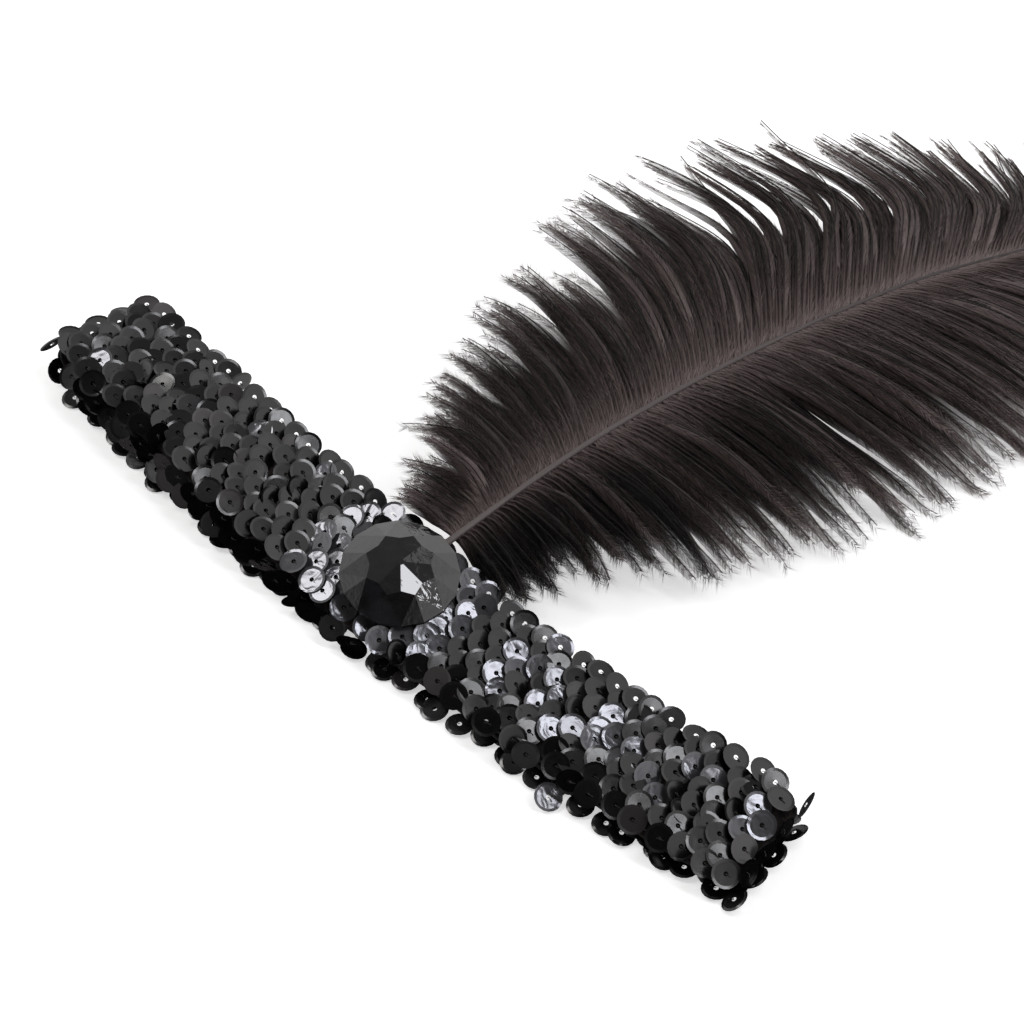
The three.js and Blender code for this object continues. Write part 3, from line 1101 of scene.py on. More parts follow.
@dataclass
class SequinField:
    """Rows of cup sequins sewn through their holes, and the stitches that hold them."""

    shape: BandShape
    radius: float = 0.003
    hole_radius: float = 0.0005
    flat_radius: float = 0.0024
    cup_rise: float = 0.00014
    film: float = 0.00007
    sides: int = 18
    rows: int = 8
    pitch: float = 0.0053
    ride_height: float = 0.0014
    lower_ride_height: float = 0.0011
    upper_uneven: float = 0.035
    lower_uneven: float = 0.075
    hem_levels: Span = (-1.26, -1.5)
    hem_overhang: float = 0.1
    hem_from: float = -1.08
    lower_run: Span = (1.93, 3.07)
    lean_forward_deg: float = 29.0
    lean_near_deg: float = -3.0
    variety_deg: float = 8.5
    wild_share: float = 0.08
    wild_forward_deg: float = 22.0
    wild_near_deg: float = 18.0
    lower_lean_deg: float = 6.0
    lower_variety_deg: float = 7.0
    hem_lean_deg: float = -16.0
    hem_variety_deg: float = 24.0
    rounded_from: float = 0.42
    rounding_deg: float = 26.0
    tilt_deg: float = 3.0
    shrink: float = 0.04
    floor_gap: float = 0.0004
    stone_x: float = 0.0048
    flash_above: float = 0.003
    flash_from_x: float = -0.008
    flash_middle: Span = (0.1, 0.55)
    few_flash: float = 0.03
    some_flash: float = 0.24
    most_flash: float = 0.8
    flash_shift: float = 0.0035
    flash_reach: float = 0.0215
    flash_split: float = 0.005
    flash_scatter: float = 0.09
    flash_right: Triple = (0.578, -0.183, 0.796)
    flash_left: Triple = (0.032, -0.467, 0.884)
    loose_place: Triple = (0.0628, -0.0129, 0.0022)
    loose_facing: Triple = (0.56, -0.13, 0.82)
    thread: float = 0.00006
    stitch_unit: float = 0.001
    seed: int = 14
    points: Array = field(init=False)
    values: dict[str, Array] = field(init=False)

    def __post_init__(self) -> None:
        """Chooses a place and a lean for every sequin."""
        rng = np.random.default_rng(self.seed)
        around, across = self.spread(rng)
        count = len(around)
        lower = (around > self.lower_run[0]) & (around < self.lower_run[1])
        hem = across < self.hem_from
        out = self.shape.facing(around, across)
        along = self.shape.heading(around, across)
        wide = unit(np.cross(out, along))
        wild = rng.random(count) < self.wild_share
        variety = np.where(wild, self.wild_forward_deg, self.variety_deg)
        ahead = rng.normal(self.lean_forward_deg, variety)
        variety = np.where(wild, self.wild_near_deg, self.variety_deg)
        nearer = rng.normal(self.lean_near_deg, variety)
        flat = rng.normal(self.lower_lean_deg, self.lower_variety_deg, count)
        ahead = np.where(lower, flat, ahead)
        flat = rng.normal(-self.lower_lean_deg, self.lower_variety_deg, count)
        nearer = np.where(lower, flat, nearer)
        hung = rng.normal(self.hem_lean_deg, self.hem_variety_deg, count)
        nearer = np.where(hem, hung, nearer)
        rounded = ~lower & ~hem & (around < 1.0) & (around > self.rounded_from)
        rounding = self.rounding_deg * (1 - ease(-1.0, -0.3, across))
        nearer = nearer + np.where(rounded, rounding, 0.0)
        normal = turned(out, wide, np.radians(ahead))
        normal = turned(normal, along, np.radians(nearer))
        height = np.where(lower, self.lower_ride_height, self.ride_height)
        self.points = self.shape.point(around, across) + out * height[:, None]
        x, y, z = self.points.T
        upper = ~lower & ~hem & (z > self.flash_above)
        middle, half_width = self.flash_middle
        lit = (x >= self.flash_from_x) & (np.abs(across - middle) < half_width)
        chance = np.where(lit, self.some_flash, self.few_flash)
        near_stone = np.hypot(x - self.stone_x + self.flash_shift, y) < self.flash_reach
        chance = np.where(near_stone, self.most_flash, chance)
        bright = upper & (rng.random(count) < chance)
        pushed = (x < self.stone_x - self.flash_split)[:, None]
        toward = np.where(pushed, np.array(self.flash_left), np.array(self.flash_right))
        toward = unit(toward + rng.normal(0.0, self.flash_scatter, (count, 3)))
        normal = np.where(bright[:, None], toward, normal)
        clear = self.radius * np.hypot(normal[:, 0], normal[:, 1]) + self.floor_gap
        self.points[:, 2] = np.maximum(self.points[:, 2], clear)
        self.values = {
            "facing": normal,
            "heading": along,
            "looseness": np.where(lower, 0.25, 1.0),
            # Shade picks the random few discs that take the painted pale reflection colour.
            "shade": rng.random(count),
            "crease": np.where(bright, rng.uniform(0.72, 1.0, count), rng.uniform(0.0, 0.6, count)),
        }
        self.hang_loose_sequin()

    def hang_loose_sequin(self) -> None:
        """Adds the one sequin that has slipped out past the near edge."""
        single = {
            "facing": unit(np.array([self.loose_facing])),
            "heading": np.array([[1.0, 0.0, 0.0]]),
            "looseness": np.array([0.0]),
            # A shade this high gives the loose sequin the painted pale reflection colour.
            "shade": np.array([0.97]),
            "crease": np.array([0.74]),
        }
        self.points = np.concatenate([self.points, [self.loose_place]])
        self.values = {key: np.concatenate([self.values[key], single[key]]) for key in single}

    def spread(self, rng: np.random.Generator) -> tuple[Array, Array]:
        """Spaces the sequins in rows round the loop and on the hem.

        Args:
            rng: the seeded source of chance.

        Returns:
            Each sequin's place round the loop and across it.
        """
        per_row = int(round(self.shape.measured(2001)[1][-1] / self.pitch))
        around, across = [], []
        for row, level in enumerate([*np.linspace(-1.0, 1.0, self.rows), *self.hem_levels]):
            places = np.mod(self.shape.even_places(per_row, start=0.5 * (row % 2)), 4.0)
            if level < -1.0:
                places = places[self.shape.hem(places) > -1.0 - level - self.hem_overhang]
            lower = (places > 2) & (places < 3)
            uneven = np.where(lower, self.lower_uneven, self.upper_uneven)
            around.append(places + rng.normal(0.0, 0.1, len(places)) * uneven)
            across.append(level + rng.normal(0.0, 1.0, len(places)) * uneven)
        return np.mod(np.concatenate(around), 4.0), np.concatenate(across)

    def sequin(self) -> Piece:
        """Makes one cup sequin: a flat middle with a hole and a raised rim.

        Returns:
            The part to be set on every point.
        """
        angles = np.arange(self.sides) * 2 * math.pi / self.sides
        circle = np.stack([np.cos(angles), np.sin(angles), 0 * angles], axis=1)
        section = (
            (self.hole_radius, 0.0),
            (self.flat_radius, self.film / 2),
            (self.radius, self.cup_rise),
            (self.flat_radius, -self.film / 2),
        )
        rings = np.array([circle * reach + (0.0, 0.0, z) for reach, z in section])
        part = mesh_object("sequin_part", *loft(rings, closed=True))
        sharp = part.data.attributes.new("sharp_edge", "BOOLEAN", "EDGE")
        for edge in part.data.edges:
            first, second = (v // self.sides for v in edge.vertices)
            sharp.data[edge.index].value = first == second
        return part

    def stitch(self) -> Piece:
        """Makes one stitch: a thread out of the hole and back down beside it.

        Returns:
            The part to be set on every point.
        """
        line = np.array([[0.0, -0.3], [0.15, 0.12], [1.1, 0.14], [1.3, -0.2]]) * self.stitch_unit
        offsets = np.array([[-1.0, -1.0], [1.0, -1.0], [1.0, 1.0], [-1.0, 1.0]]) * self.thread
        rings = []
        for i, (x, z) in enumerate(line):
            before, after = line[max(i - 1, 0)], line[min(i + 1, len(line) - 1)]
            way = (after - before) / np.linalg.norm(after - before)
            rings.append([[x - way[1] * b, a, z + way[0] * b] for a, b in offsets])
        return mesh_object("stitch_part", *loft(np.array(rings), closed=False))

    def build(self) -> tuple[Piece, Piece]:
        """Sets a sequin and a stitch on every point.

        Returns:
            The sequins and the stitches.
        """
        tree = scatter_tree()
        made = []
        for part, name, material in (
            (self.sequin(), "sequins", SequinFinish().make()),
            (self.stitch(), "stitches", ThreadFinish().make()),
        ):
            values = {
                "Part": part,
                "Tilt": math.radians(self.tilt_deg),
                "Shrink": self.shrink,
                "Seed": self.seed,
                "Finish": material,
            }
            made.append(tree.grow(carrier(self.points, None, self.values), name, values))
            bpy.data.objects.remove(part)
        return made[0], made[1]


# Plume


@dataclass(frozen=True)
class Vane:
    """One side of the plume: how its locks leave the shaft, bend, rise and droop."""

    side: Side
    reach: Profile
    leave_deg: Profile
    end_deg: Profile
    rise: float
    droop: float
    sleek: float
    sleek_from: Span
    hook: float
    # Painted shade: the barbs darken at the vane's base, by the band and the stone.
    base_painted_shade: float
    # Painted highlights: the barbs pale towards the tip, standing in for glossy strand highlights.
    tip_painted_highlight: float


LOCK_ROOTS = (0.0, 0.04, 0.09, 0.15, 0.22, 0.3, 0.38, 0.46, 0.54, 0.62, 0.7, 0.78, 0.86, 0.93, 1.0)
LEFT_VANE = Vane(
    Side.LEFT,
    Profile(
        LOCK_ROOTS,
        (0.24, 0.33, 0.47, 0.6, 0.73, 0.86, 0.95, 1.0, 1.0, 0.95, 0.85, 0.76, 0.66, 0.6, 0.48),
    ),
    Profile(LOCK_ROOTS, (86, 78, 72, 66, 60, 56, 53, 50, 47, 44, 40, 36, 30, 22, 8)),
    Profile(LOCK_ROOTS, (116, 112, 108, 104, 102, 104, 106, 110, 112, 110, 102, 88, 66, 42, 12)),
    rise=0.2,
    droop=0.06,
    sleek=1.0,
    sleek_from=(0.28, 0.5),
    hook=0.85,
    base_painted_shade=0.0,
    tip_painted_highlight=0.4,
)
RIGHT_VANE = Vane(
    Side.RIGHT,
    Profile(
        LOCK_ROOTS,
        (0.26, 0.32, 0.41, 0.56, 0.66, 0.73, 0.79, 0.82, 0.82, 0.78, 0.74, 0.7, 0.64, 0.58, 0.5),
    ),
    Profile(LOCK_ROOTS, (84, 82, 79, 78, 72, 67, 63, 58, 54, 49, 44, 38, 31, 22, 8)),
    Profile(LOCK_ROOTS, (104, 100, 94, 88, 82, 78, 74, 70, 66, 60, 54, 48, 40, 28, 10)),
    rise=-0.16,
    droop=0.34,
    sleek=0.55,
    sleek_from=(0.48, 0.8),
    hook=0.0,
    base_painted_shade=1.0,
    tip_painted_highlight=0.9,
)


SHAFT_PLACES = (0.0, 0.07, 0.27, 0.47, 0.68, 0.84, 1.0)


@dataclass(frozen=True)
class PlumeShape:
    """The shaft's line from the stone's back, and the curved sheet that both vanes lie in."""

    seat: Triple
    length: float = 0.212
    quill_radius: float = 0.0008
    tip_radius: float = 0.0003
    vane_reach: float = 0.062
    vane_start_y: float = 0.0149
    probe: float = 0.01
    aside: Profile = Profile(SHAFT_PLACES, (0.0, 0.0, 0.006, 0.02, 0.038, 0.05, 0.056))
    ahead: Profile = Profile(SHAFT_PLACES, (-0.013, 0.057, 0.257, 0.457, 0.657, 0.807, 0.952))
    rise: Profile = Profile(SHAFT_PLACES, (-0.0042, 0.0085, 0.0355, 0.0415, 0.029, -0.003, -0.045))

    def radius(self, at: Array) -> Array:
        """The shaft's radius."""
        return self.quill_radius + (self.tip_radius - self.quill_radius) * at

    def point(self, at: Array) -> Array:
        """Places on the shaft's centre line, no lower than it can lie.

        Args:
            at: 0 at the stone to 1 at the tip.

        Returns:
            Rows of three.
        """
        line = np.stack([self.aside.read(at), self.ahead.read(at), self.rise.read(at)], axis=-1)
        place = np.array(self.seat) + line * self.length
        place[..., 2] = np.maximum(place[..., 2], self.radius(at))
        return place

    def tangent(self, at: Array) -> Array:
        """The shaft's direction."""
        return unit(self.point(at + self.probe) - self.point(at - self.probe))

    def height(self, y: Array) -> Array:
        """The vanes' height over the floor beside the shaft, y ahead of the band's middle."""
        by_ahead = Profile(self.ahead.value, self.rise.value)
        return self.seat[2] + by_ahead.read((y - self.seat[1]) / self.length) * self.length

    def vane_start(self) -> float:
        """The place on the shaft where the vanes start, just past the band's far edge."""
        by_ahead = Profile(self.ahead.value, self.ahead.at)
        return float(by_ahead.read(np.array((self.vane_start_y - self.seat[1]) / self.length)))

    def strand(self, vane: Vane, root: Array, bend: Array, swing: Array, long: Array) -> Array:
        """Lays strands in a vane's sheet.

        Args:
            vane: the vane.
            root: where each point's strand leaves the vaned part of the shaft, 0 to 1, as
                (strand, point).
            bend: how far each point has turned from the leaving angle to the last one.
            swing: an angle in degrees added at each point.
            long: each strand's length as a share of the vane's reach there.

        Returns:
            The centre lines, (strand, point, 3).
        """
        start_at = self.vane_start()
        at = start_at + (1 - start_at) * root
        start = self.point(at)
        tangent = self.point(at + self.probe) - self.point(at - self.probe)
        heading = np.arctan2(tangent[..., 0], tangent[..., 1])
        leave, end = vane.leave_deg.read(root), vane.end_deg.read(root)
        angle = heading + vane.side.value * np.radians(leave + (end - leave) * bend + swing)
        step = self.vane_reach * vane.reach.read(root) * long[:, None] / (root.shape[1] - 1)
        x = start[..., 0] + np.cumsum(np.sin(angle) * step, axis=1) - np.sin(angle) * step
        y = start[..., 1] + np.cumsum(np.cos(angle) * step, axis=1) - np.cos(angle) * step
        away = np.abs(x - start[..., 0] - (y - start[..., 1]) * np.tan(heading))
        fall = vane.droop * (away / self.vane_reach) ** 2 * self.vane_reach
        z = self.height(y) + vane.rise * away - fall
        return np.stack([x, y, z], axis=-1)


@dataclass
class Shaft:
    """The plume's bare shaft, from under the stone to the tip."""

    shape: PlumeShape
    stations: int = 110
    sides: int = 12
    groove: float = 0.16
    groove_width: float = 0.5

    def build(self) -> Piece:
        """Lofts the shaft with a shallow groove along its underside.

        Returns:
            The shaft piece.
        """
        at = np.linspace(0.0, 1.0, self.stations)
        centre, way = self.shape.point(at), self.shape.tangent(at)
        side = unit(np.array([1.0, 0.0, 0.0]) - way * way[:, :1])
        up = np.cross(side, way)
        angles = (np.arange(self.sides) + 0.5) * 2 * math.pi / self.sides
        below = (angles - 1.5 * math.pi) / self.groove_width
        hollow = 1 - self.groove * np.exp(-(below**2))
        reach = self.shape.radius(at)[:, None] * hollow[None, :]
        rings = centre[:, None] + (
            side[:, None] * (reach * np.cos(angles))[..., None]
            + up[:, None] * (reach * np.sin(angles))[..., None]
        )
        piece = mesh_object("plume_shaft", *loft(rings, closed=False))
        piece.data.shade_smooth()
        across = np.tile(angles / math.pi, self.stations)
        hold_values(piece.data, {"along": np.repeat(at, self.sides), "across": across})
        piece.data.materials.append(ShaftFinish().make())
        return piece


@dataclass
class VaneBarbs:
    """One vane's barbs, gathered into locks, the down behind them and the barbules along them."""

    shape: PlumeShape
    vane: Vane
    name: str
    count: int = 300
    steps: int = 26
    root_half_width: float = 0.0002
    tip_half_width: float = 0.00009
    lock_widths: Span = (0.008, 0.03)
    tip_gather: float = 0.08
    sleek_gather: float = 0.74
    stray_share: float = 0.08
    stray_reach: float = 1.06
    stray_swing_deg: float = 16.0
    ripple_deg: float = 7.0
    lock_lift: float = 0.0012
    barb_lift: float = 0.0007
    floor_gap: float = 0.0007
    mean_tone: float = 0.44
    lock_tone: float = 0.14
    barb_tone: float = 0.22
    # Painted highlights on the sleek strands.
    sleek_painted_highlight: float = 0.15
    darkest: float = -0.7
    least_lift: float = 0.0003
    strong_lift: float = 0.0007
    down_half_width: float = 0.00085
    down_depth: float = 0.0005
    down_floor_gap: float = 0.0003
    inner_hairs: int = 44000
    outer_hairs: int = 56000
    hair_radius: float = 0.00006
    hair_reach: Span = (0.0018, 0.0038)
    hair_spread_deg: Span = (20.0, 6.0)
    hair_rise: Span = (0.03, 0.12)
    hair_floor_gap: float = 0.0002
    seed: int = 5
    line: Array = field(init=False)
    shade: Array = field(init=False)
    root: Array = field(init=False)
    sleek: Array = field(init=False)

    def __post_init__(self) -> None:
        """Lays every barb's centre line."""
        rng = np.random.default_rng(self.seed)
        root = (np.arange(self.count) + 0.5 + rng.normal(0, 0.3, self.count)) / self.count
        root = np.clip(root, 0.0, 1.0)
        lock, middle = self.locks(root, rng)
        locks = lock.max() + 1
        share = np.linspace(0.0, 1.0, self.steps)[None, :]
        sleek = self.vane.sleek * ease(*self.vane.sleek_from, root)
        gather = self.tip_gather * ease(0.6, 1.0, share)
        gather = gather + self.sleek_gather * sleek[:, None] * ease(0.35, 0.85, share)
        placed = root[:, None] + (middle[lock] - root)[:, None] * gather
        long = rng.normal(1.0, 0.05 + 0.05 * sleek.mean(), locks)[lock]
        long = long * rng.normal(0.94, 0.09 - 0.05 * sleek, self.count)
        stray = rng.random(self.count) < self.stray_share
        long = np.where(stray, self.stray_reach, np.clip(long, 0.6, 1.05))
        hook = sleek[:, None] * self.vane.hook
        bend = (1 - hook) * share + hook * ease(0.36, 0.74, share)
        waves = rng.random((2, self.count, 1)) * np.array([6.3, 1.0])[:, None, None]
        swing = rng.normal(0, 1.0, locks)[lock] * (0.8 + 4.5 * sleek * self.vane.hook)
        swing = swing + rng.normal(0, 3.2 - 1.8 * sleek, self.count)
        swing = np.where(stray, rng.normal(0, self.stray_swing_deg, self.count), swing)
        swing = swing[:, None] * share**1.2
        ripple = np.sin(share * (5 + 7 * waves[1]) + waves[0]) * share
        swing = swing + self.ripple_deg * ripple * (1 - 0.6 * sleek[:, None])
        line = self.shape.strand(self.vane, placed, bend, swing, long)
        lift = rng.normal(0, self.lock_lift, locks)[lock]
        lift = lift + rng.normal(0, self.barb_lift, self.count)
        line[..., 2] += lift[:, None] * ease(0.0, 0.5, share)
        line[..., 2] = np.maximum(line[..., 2], self.floor_gap)
        self.line = line
        tone = rng.normal(self.mean_tone, self.lock_tone, locks)[lock]
        tone = tone + rng.normal(0, self.barb_tone, self.count)
        # Painted highlights on sleek strands and towards the tips.
        tone = tone + self.sleek_painted_highlight * sleek + self.vane.tip_painted_highlight * ease(0.4, 0.8, root)
        # Painted shade at the vane's base.
        tone = tone - self.vane.base_painted_shade * (1 - ease(0.02, 0.3, root))
        self.shade = np.clip(tone, self.darkest, 1)
        self.root = root
        self.sleek = sleek

    def locks(self, root: Array, rng: np.random.Generator) -> tuple[Array, Array]:
        """Parts the barbs into locks.

        Args:
            root: each barb's root, rising.
            rng: the seeded source of chance.

        Returns:
            Each barb's lock number, and each lock's middle root.
        """
        cuts, at = [], 0.0
        while at < 1.0:
            at += rng.uniform(*self.lock_widths)
            cuts.append(at)
        lock = np.unique(np.searchsorted(cuts, root), return_inverse=True)[1]
        middle = np.array([root[lock == i].mean() for i in range(lock.max() + 1)])
        return lock, middle

    def ribbons(
        self, tree: PatternTree, material: bpy.types.Material, name: str, line: Array,
        half_width: Array, shade: Array, flatness: float, lean: float, veil: Array | None = None,
    ) -> Piece:
        """Gives lines a flat section.

        Args:
            tree: the ribbon tree.
            material: the finish.
            name: the piece's name.
            line: the centre lines, (strand, point, 3).
            half_width: half the width at each point.
            shade: each strand's tone.
            flatness: the section's height over its width.
            lean: how far each section leans sideways, in radians.
            veil: how far each point thins to a translucent veil, if it does.

        Returns:
            The strands as one piece.
        """
        count, steps = line.shape[:2]
        numbers = np.arange(count * steps).reshape(count, steps)
        edges = np.stack([numbers[:, :-1].ravel(), numbers[:, 1:].ravel()], axis=1)
        values = {
            "half_width": half_width.ravel(),
            "lean": np.full(count * steps, lean * self.vane.side.value),
            "along": np.tile(np.linspace(0.0, 1.0, steps), count),
            "shade": np.repeat(shade, steps),
            "veil": np.zeros(count * steps) if veil is None else veil.ravel(),
        }
        base = carrier(line.reshape(-1, 3), edges, values)
        return tree.grow(base, name, {"Flatness": flatness, "Finish": material})

    def build_barbs(self, tree: PatternTree, material: bpy.types.Material) -> list[Piece]:
        """Makes the barbs' fine shafts and the broad down behind them.

        Args:
            tree: the ribbon tree.
            material: the barbs' finish.

        Returns:
            The shafts and the down.
        """
        share = np.linspace(0.0, 1.0, self.steps)[None, :]
        strong = (np.arange(self.count) % 2)[:, None]
        thin = self.root_half_width + (self.tip_half_width - self.root_half_width) * share
        thin = thin * (0.8 + 0.6 * strong)
        over = self.line.copy()
        over[..., 2] += (self.least_lift + self.strong_lift * strong) * ease(0.02, 0.15, share)
        name, shade = self.name + "_barbs", 0.2 * self.shade - 0.3
        shafts = self.ribbons(tree, material, name, over, thin, shade, flatness=0.6, lean=0.0)
        behind = self.line[:, ::2].copy()
        behind[..., 2] = np.maximum(behind[..., 2] - self.down_depth, self.down_floor_gap)
        near = share[:, ::2]
        broad = self.down_half_width * (0.8 + 0.9 * ease(0.0, 0.45, near))
        broad = broad * (1 - 0.55 * ease(0.65, 1.0, near))
        broad = broad * (1 - 0.55 * self.sleek[:, None] * ease(0.3, 0.6, near))
        broad = broad * (1 - 0.4 * ease(0.76, 0.9, self.root))[:, None]
        veil = np.repeat(ease(0.45, 0.9, near), self.count, axis=0)
        name, shade = self.name + "_down", 0.8 * self.shade
        down = self.ribbons(
            tree, material, name, behind, broad, shade, flatness=0.14, lean=0.3, veil=veil
        )
        return [shafts, down]

    def build_barbules(self, tree: PatternTree, material: bpy.types.Material) -> list[Piece]:
        """Stands the soft hairs along the barbs.

        Args:
            tree: the bristle tree.
            material: the barbs' finish.

        Returns:
            The inner and the outer barbules.
        """
        rng = np.random.default_rng(self.seed + 1)
        pieces = []
        for part, count, low, high, radius in (
            ("inner", self.inner_hairs, 0.0, 0.55, self.hair_radius),
            ("outer", self.outer_hairs, 0.45, 1.0, 0.7 * self.hair_radius),
        ):
            likely = 1 - 0.5 * ease(0.78, 0.9, self.root)
            barb = rng.choice(self.count, count, p=likely / likely.sum())
            share = low + (high - low) * rng.random(count)
            at = share * (self.steps - 1)
            i = np.minimum(at.astype(int), self.steps - 2)
            t = (at - i)[:, None]
            start = self.line[barb, i] * (1 - t) + self.line[barb, i + 1] * t
            way = unit(self.line[barb, i + 1] - self.line[barb, i])
            side = unit(np.cross(way, np.array([0.0, 0.0, 1.0])))
            sign = np.where(rng.random(count) < 0.5, -1.0, 1.0)
            tip_zone = ease(0.5, 0.9, share)
            loose = 1 - self.sleek[barb]
            spread = rng.normal(*self.hair_spread_deg, count) + tip_zone * 18 * loose
            spread = np.radians(spread * (1 - 0.62 * self.sleek[barb] * ease(0.3, 0.7, share)))
            aim = way * np.cos(spread)[:, None] + side * (sign * np.sin(spread))[:, None]
            aim[:, 2] += rng.normal(*self.hair_rise, count)
            reach = rng.uniform(*self.hair_reach, count)
            reach = reach * (1 - tip_zone * (0.05 * loose + 0.4 * self.sleek[barb]))
            start = start + side * (sign * rng.uniform(0.0, 0.0001, count))[:, None]
            tip = start + unit(aim) * reach[:, None]
            tip[:, 2] = np.maximum(tip[:, 2], self.hair_floor_gap)
            shade = self.shade[barb] + rng.normal(0.12, self.barb_tone, count)
            values = {
                "aim": unit(tip - start),
                "reach": reach,
                "shade": np.clip(shade, self.darkest, 1),
                "along": share,
                "across": rng.uniform(-1, 1, count),
            }
            name = f"{self.name}_barbules_{part}"
            inputs = {"Root Radius": radius, "Finish": material}
            pieces.append(tree.grow(carrier(start, None, values), name, inputs))
        return pieces


# The whole


def stone_seat(stone: Piece, gap: float = 0.0003, quill: float = 0.0008) -> Vector:
    """Finds where the quill starts: under the middle of the stone's flat back.

    Args:
        stone: the stone's CAD node.
        gap: the room between the stone and the quill.
        quill: the quill's radius.

    Returns:
        The start of the shaft's line.
    """
    mesh = stone.data
    area: dict[tuple[float, ...], float] = {}
    centre: dict[tuple[float, ...], Vector] = {}
    for face in mesh.polygons:
        key = tuple(round(v, 2) for v in face.normal)
        area[key] = area.get(key, 0.0) + face.area
        centre[key] = centre.get(key, Vector()) + face.center * face.area
    back = max((key for key in area if key[2] < -0.5), key=lambda key: area[key])
    normal = Vector(back).normalized()
    return centre[back] / area[back] + normal * (gap + quill)


@dataclass(frozen=True)
class SoftBox:
    """One soft light that faces the headband, its power in watts."""

    name: str
    azimuth_deg: float
    elevation_deg: float
    size: Span
    power: float
    colour: Triple
    distance: float = 1.2

    def hang(self) -> None:
        """Hangs the light."""
        out = outward(self.azimuth_deg, self.elevation_deg)
        data = bpy.data.lights.new(self.name, "AREA")
        data.shape = "RECTANGLE"
        data.size, data.size_y = self.size
        data.energy = self.power
        data.color = self.colour
        light = place_object(self.name, data)
        light.location = out * self.distance
        light.rotation_mode = "QUATERNION"
        light.rotation_quaternion = out.to_track_quat("Z", "Y")


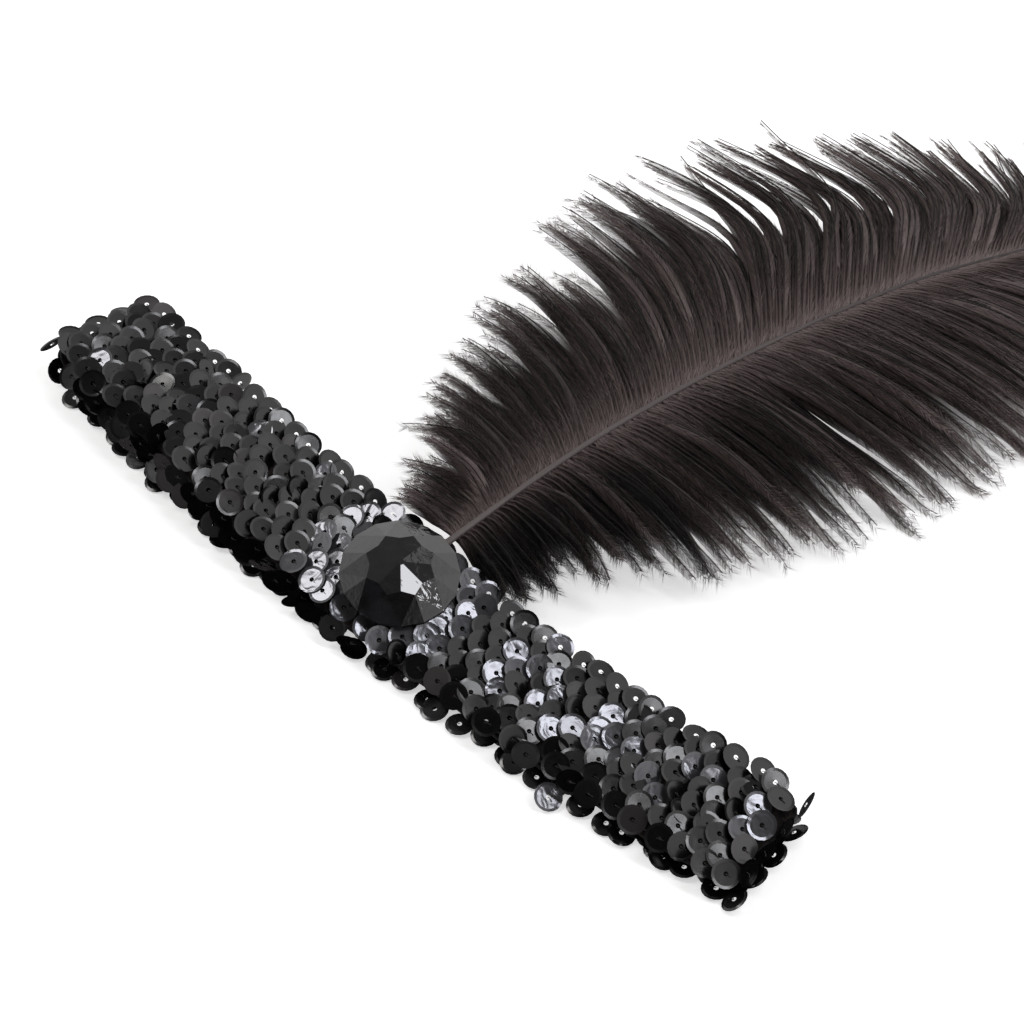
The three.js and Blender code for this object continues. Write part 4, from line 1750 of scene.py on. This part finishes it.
@dataclass
class Studio:
    """A pale floor, soft light and the camera at the picture's angle."""

    azimuth_deg: float = 47.81
    elevation_deg: float = 42.0
    distance: float = 0.8474
    target: Triple = (-0.00544, 0.0394, 0.0)
    focal_pixels: float = 4003.5
    image_pixels: float = 1024.0
    sensor: float = 36.0
    clip: Span = (0.01, 20.0)
    floor_size: float = 12.0
    wall_glow: float = 0.95
    ceiling_glow: float = 0.2
    ceiling_edge: Span = (0.45, 0.78)
    flag_azimuth_deg: float = 28.0
    flag_elevation_deg: float = 35.0
    flag_glow: float = 0.09
    flag_reach: Span = (0.62, 0.9)
    sky_colour: Colour = (1.0, 0.985, 0.975, 1.0)
    boxes: tuple[SoftBox, ...] = (
        SoftBox("key_strip", 106.0, 57.0, (0.2, 0.95), 4.6, (0.95, 0.96, 1.0)),
        SoftBox("right_box", 155.0, 47.0, (0.8, 0.6), 0.85, (1.0, 0.985, 0.975)),
        SoftBox("left_box", -60.0, 55.0, (0.4, 0.4), 3.4, (1.0, 0.985, 0.97)),
    )

    def place_camera(self) -> None:
        """Stands the camera."""
        back = outward(self.azimuth_deg, self.elevation_deg)
        data = bpy.data.cameras.new("camera")
        data.sensor_width = self.sensor
        data.lens = self.focal_pixels / self.image_pixels * self.sensor
        data.clip_start, data.clip_end = self.clip
        camera = place_object("camera", data)
        camera.location = Vector(self.target) + back * self.distance
        camera.rotation_mode = "QUATERNION"
        camera.rotation_quaternion = (-back).to_track_quat("-Z", "Y")
        bpy.context.scene.camera = camera

    def lay_floor(self) -> None:
        """Lays the floor."""
        half = self.floor_size / 2
        corners = np.array([[-half, -half, 0], [half, -half, 0], [half, half, 0], [-half, half, 0]])
        floor = mesh_object("floor", corners, [(0, 1, 2, 3)])
        floor.data.materials.append(FloorFinish().make())
        floor.visible_glossy = False

    def set_film(self) -> None:
        """Keeps whites white and blacks black in the picture."""
        bpy.context.scene.view_settings.view_transform = "Standard"

    def fill_sky(self) -> None:
        """Fills the room with even light, darker on the near side where the camera stands."""
        world = bpy.data.worlds.new("room")
        world.use_nodes = True
        bpy.context.scene.world = world
        sketch = Sketch(world.node_tree)
        way = sketch.node("ShaderNodeTexCoord").outputs["Generated"]
        level = sketch.node("ShaderNodeSeparateXYZ", {0: way}).outputs["Z"]
        wall, ceiling = (self.wall_glow,) * 3, (self.ceiling_glow,) * 3
        low, high = self.ceiling_edge
        walls = sketch.ramp(level, [(0.0, wall), (low, wall), (high, ceiling)])
        flag = outward(self.flag_azimuth_deg, self.flag_elevation_deg)
        toward = sketch.node("ShaderNodeVectorMath", {0: way, 1: flag}, operation="DOT_PRODUCT")
        facing = toward.outputs["Value"]
        shade = sketch.rescale(facing, self.flag_reach, (1.0, self.flag_glow), smooth=True)
        above = sketch.math("GREATER_THAN", level, 0.0)
        lit = sketch.math("MULTIPLY", walls, above)
        strength = sketch.math("MULTIPLY", shade, lit)
        seen = sketch.node("ShaderNodeLightPath").outputs["Is Camera Ray"]
        strength = sketch.math("MAXIMUM", strength, seen)
        back = world.node_tree.nodes["Background"]
        world.node_tree.links.new(strength, back.inputs["Strength"])
        back.inputs["Color"].default_value = self.sky_colour

    def build(self) -> None:
        """Sets the whole studio."""
        self.set_film()
        self.place_camera()
        self.lay_floor()
        self.fill_sky()
        for box in self.boxes:
            box.hang()


def seat_piece(piece: Piece, replaced: tuple[str, ...] = ()) -> None:
    """Ties a piece to the body and hides the CAD nodes that it stands for.

    Args:
        piece: the piece.
        replaced: the CAD nodes that it stands for.
    """
    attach(piece, BODY)
    if replaced:
        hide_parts(*replaced)
    piece.data.calc_loop_triangles()
    LOG.info("%s: %d triangles", piece.name, len(piece.data.loop_triangles))


def dress_node(name: str, material: bpy.types.Material) -> Piece:
    """Gives a carried-over CAD node its finish.

    Args:
        name: the node.
        material: its finish.

    Returns:
        The node's object.
    """
    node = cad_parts[name]
    node.data.materials.clear()
    node.data.materials.append(material)
    LOG.info("%s: kept from the frame", name)
    return node


def main() -> None:
    """Builds the headband's parts in order."""
    Studio().build()
    band = BandShape()
    net = NetBand(band).build()
    sequins, stitches = SequinField(band).build()
    seat_piece(net, ("net_band",))
    seat_piece(sequins, ("sequin_cover",))
    seat_piece(stitches)
    stone = dress_node("stone", StoneFinish().make())
    dress_node("stone_pad", GlueFinish().make())
    plume = PlumeShape(tuple(stone_seat(stone)))
    shaft = Shaft(plume).build()
    barb_material = BarbFinish().make()
    ribbons, bristles = ribbon_tree(), bristle_tree()
    seat_piece(shaft, ("plume",))
    for vane, name, seed in ((LEFT_VANE, "left_vane", 5), (RIGHT_VANE, "right_vane", 9)):
        barbs = VaneBarbs(plume, vane, name, seed=seed)
        for strands in barbs.build_barbs(ribbons, barb_material):
            seat_piece(strands, ("plume",))
        for hairs in barbs.build_barbules(bristles, barb_material):
            seat_piece(hairs)


if __name__ == "__main__":
    main()
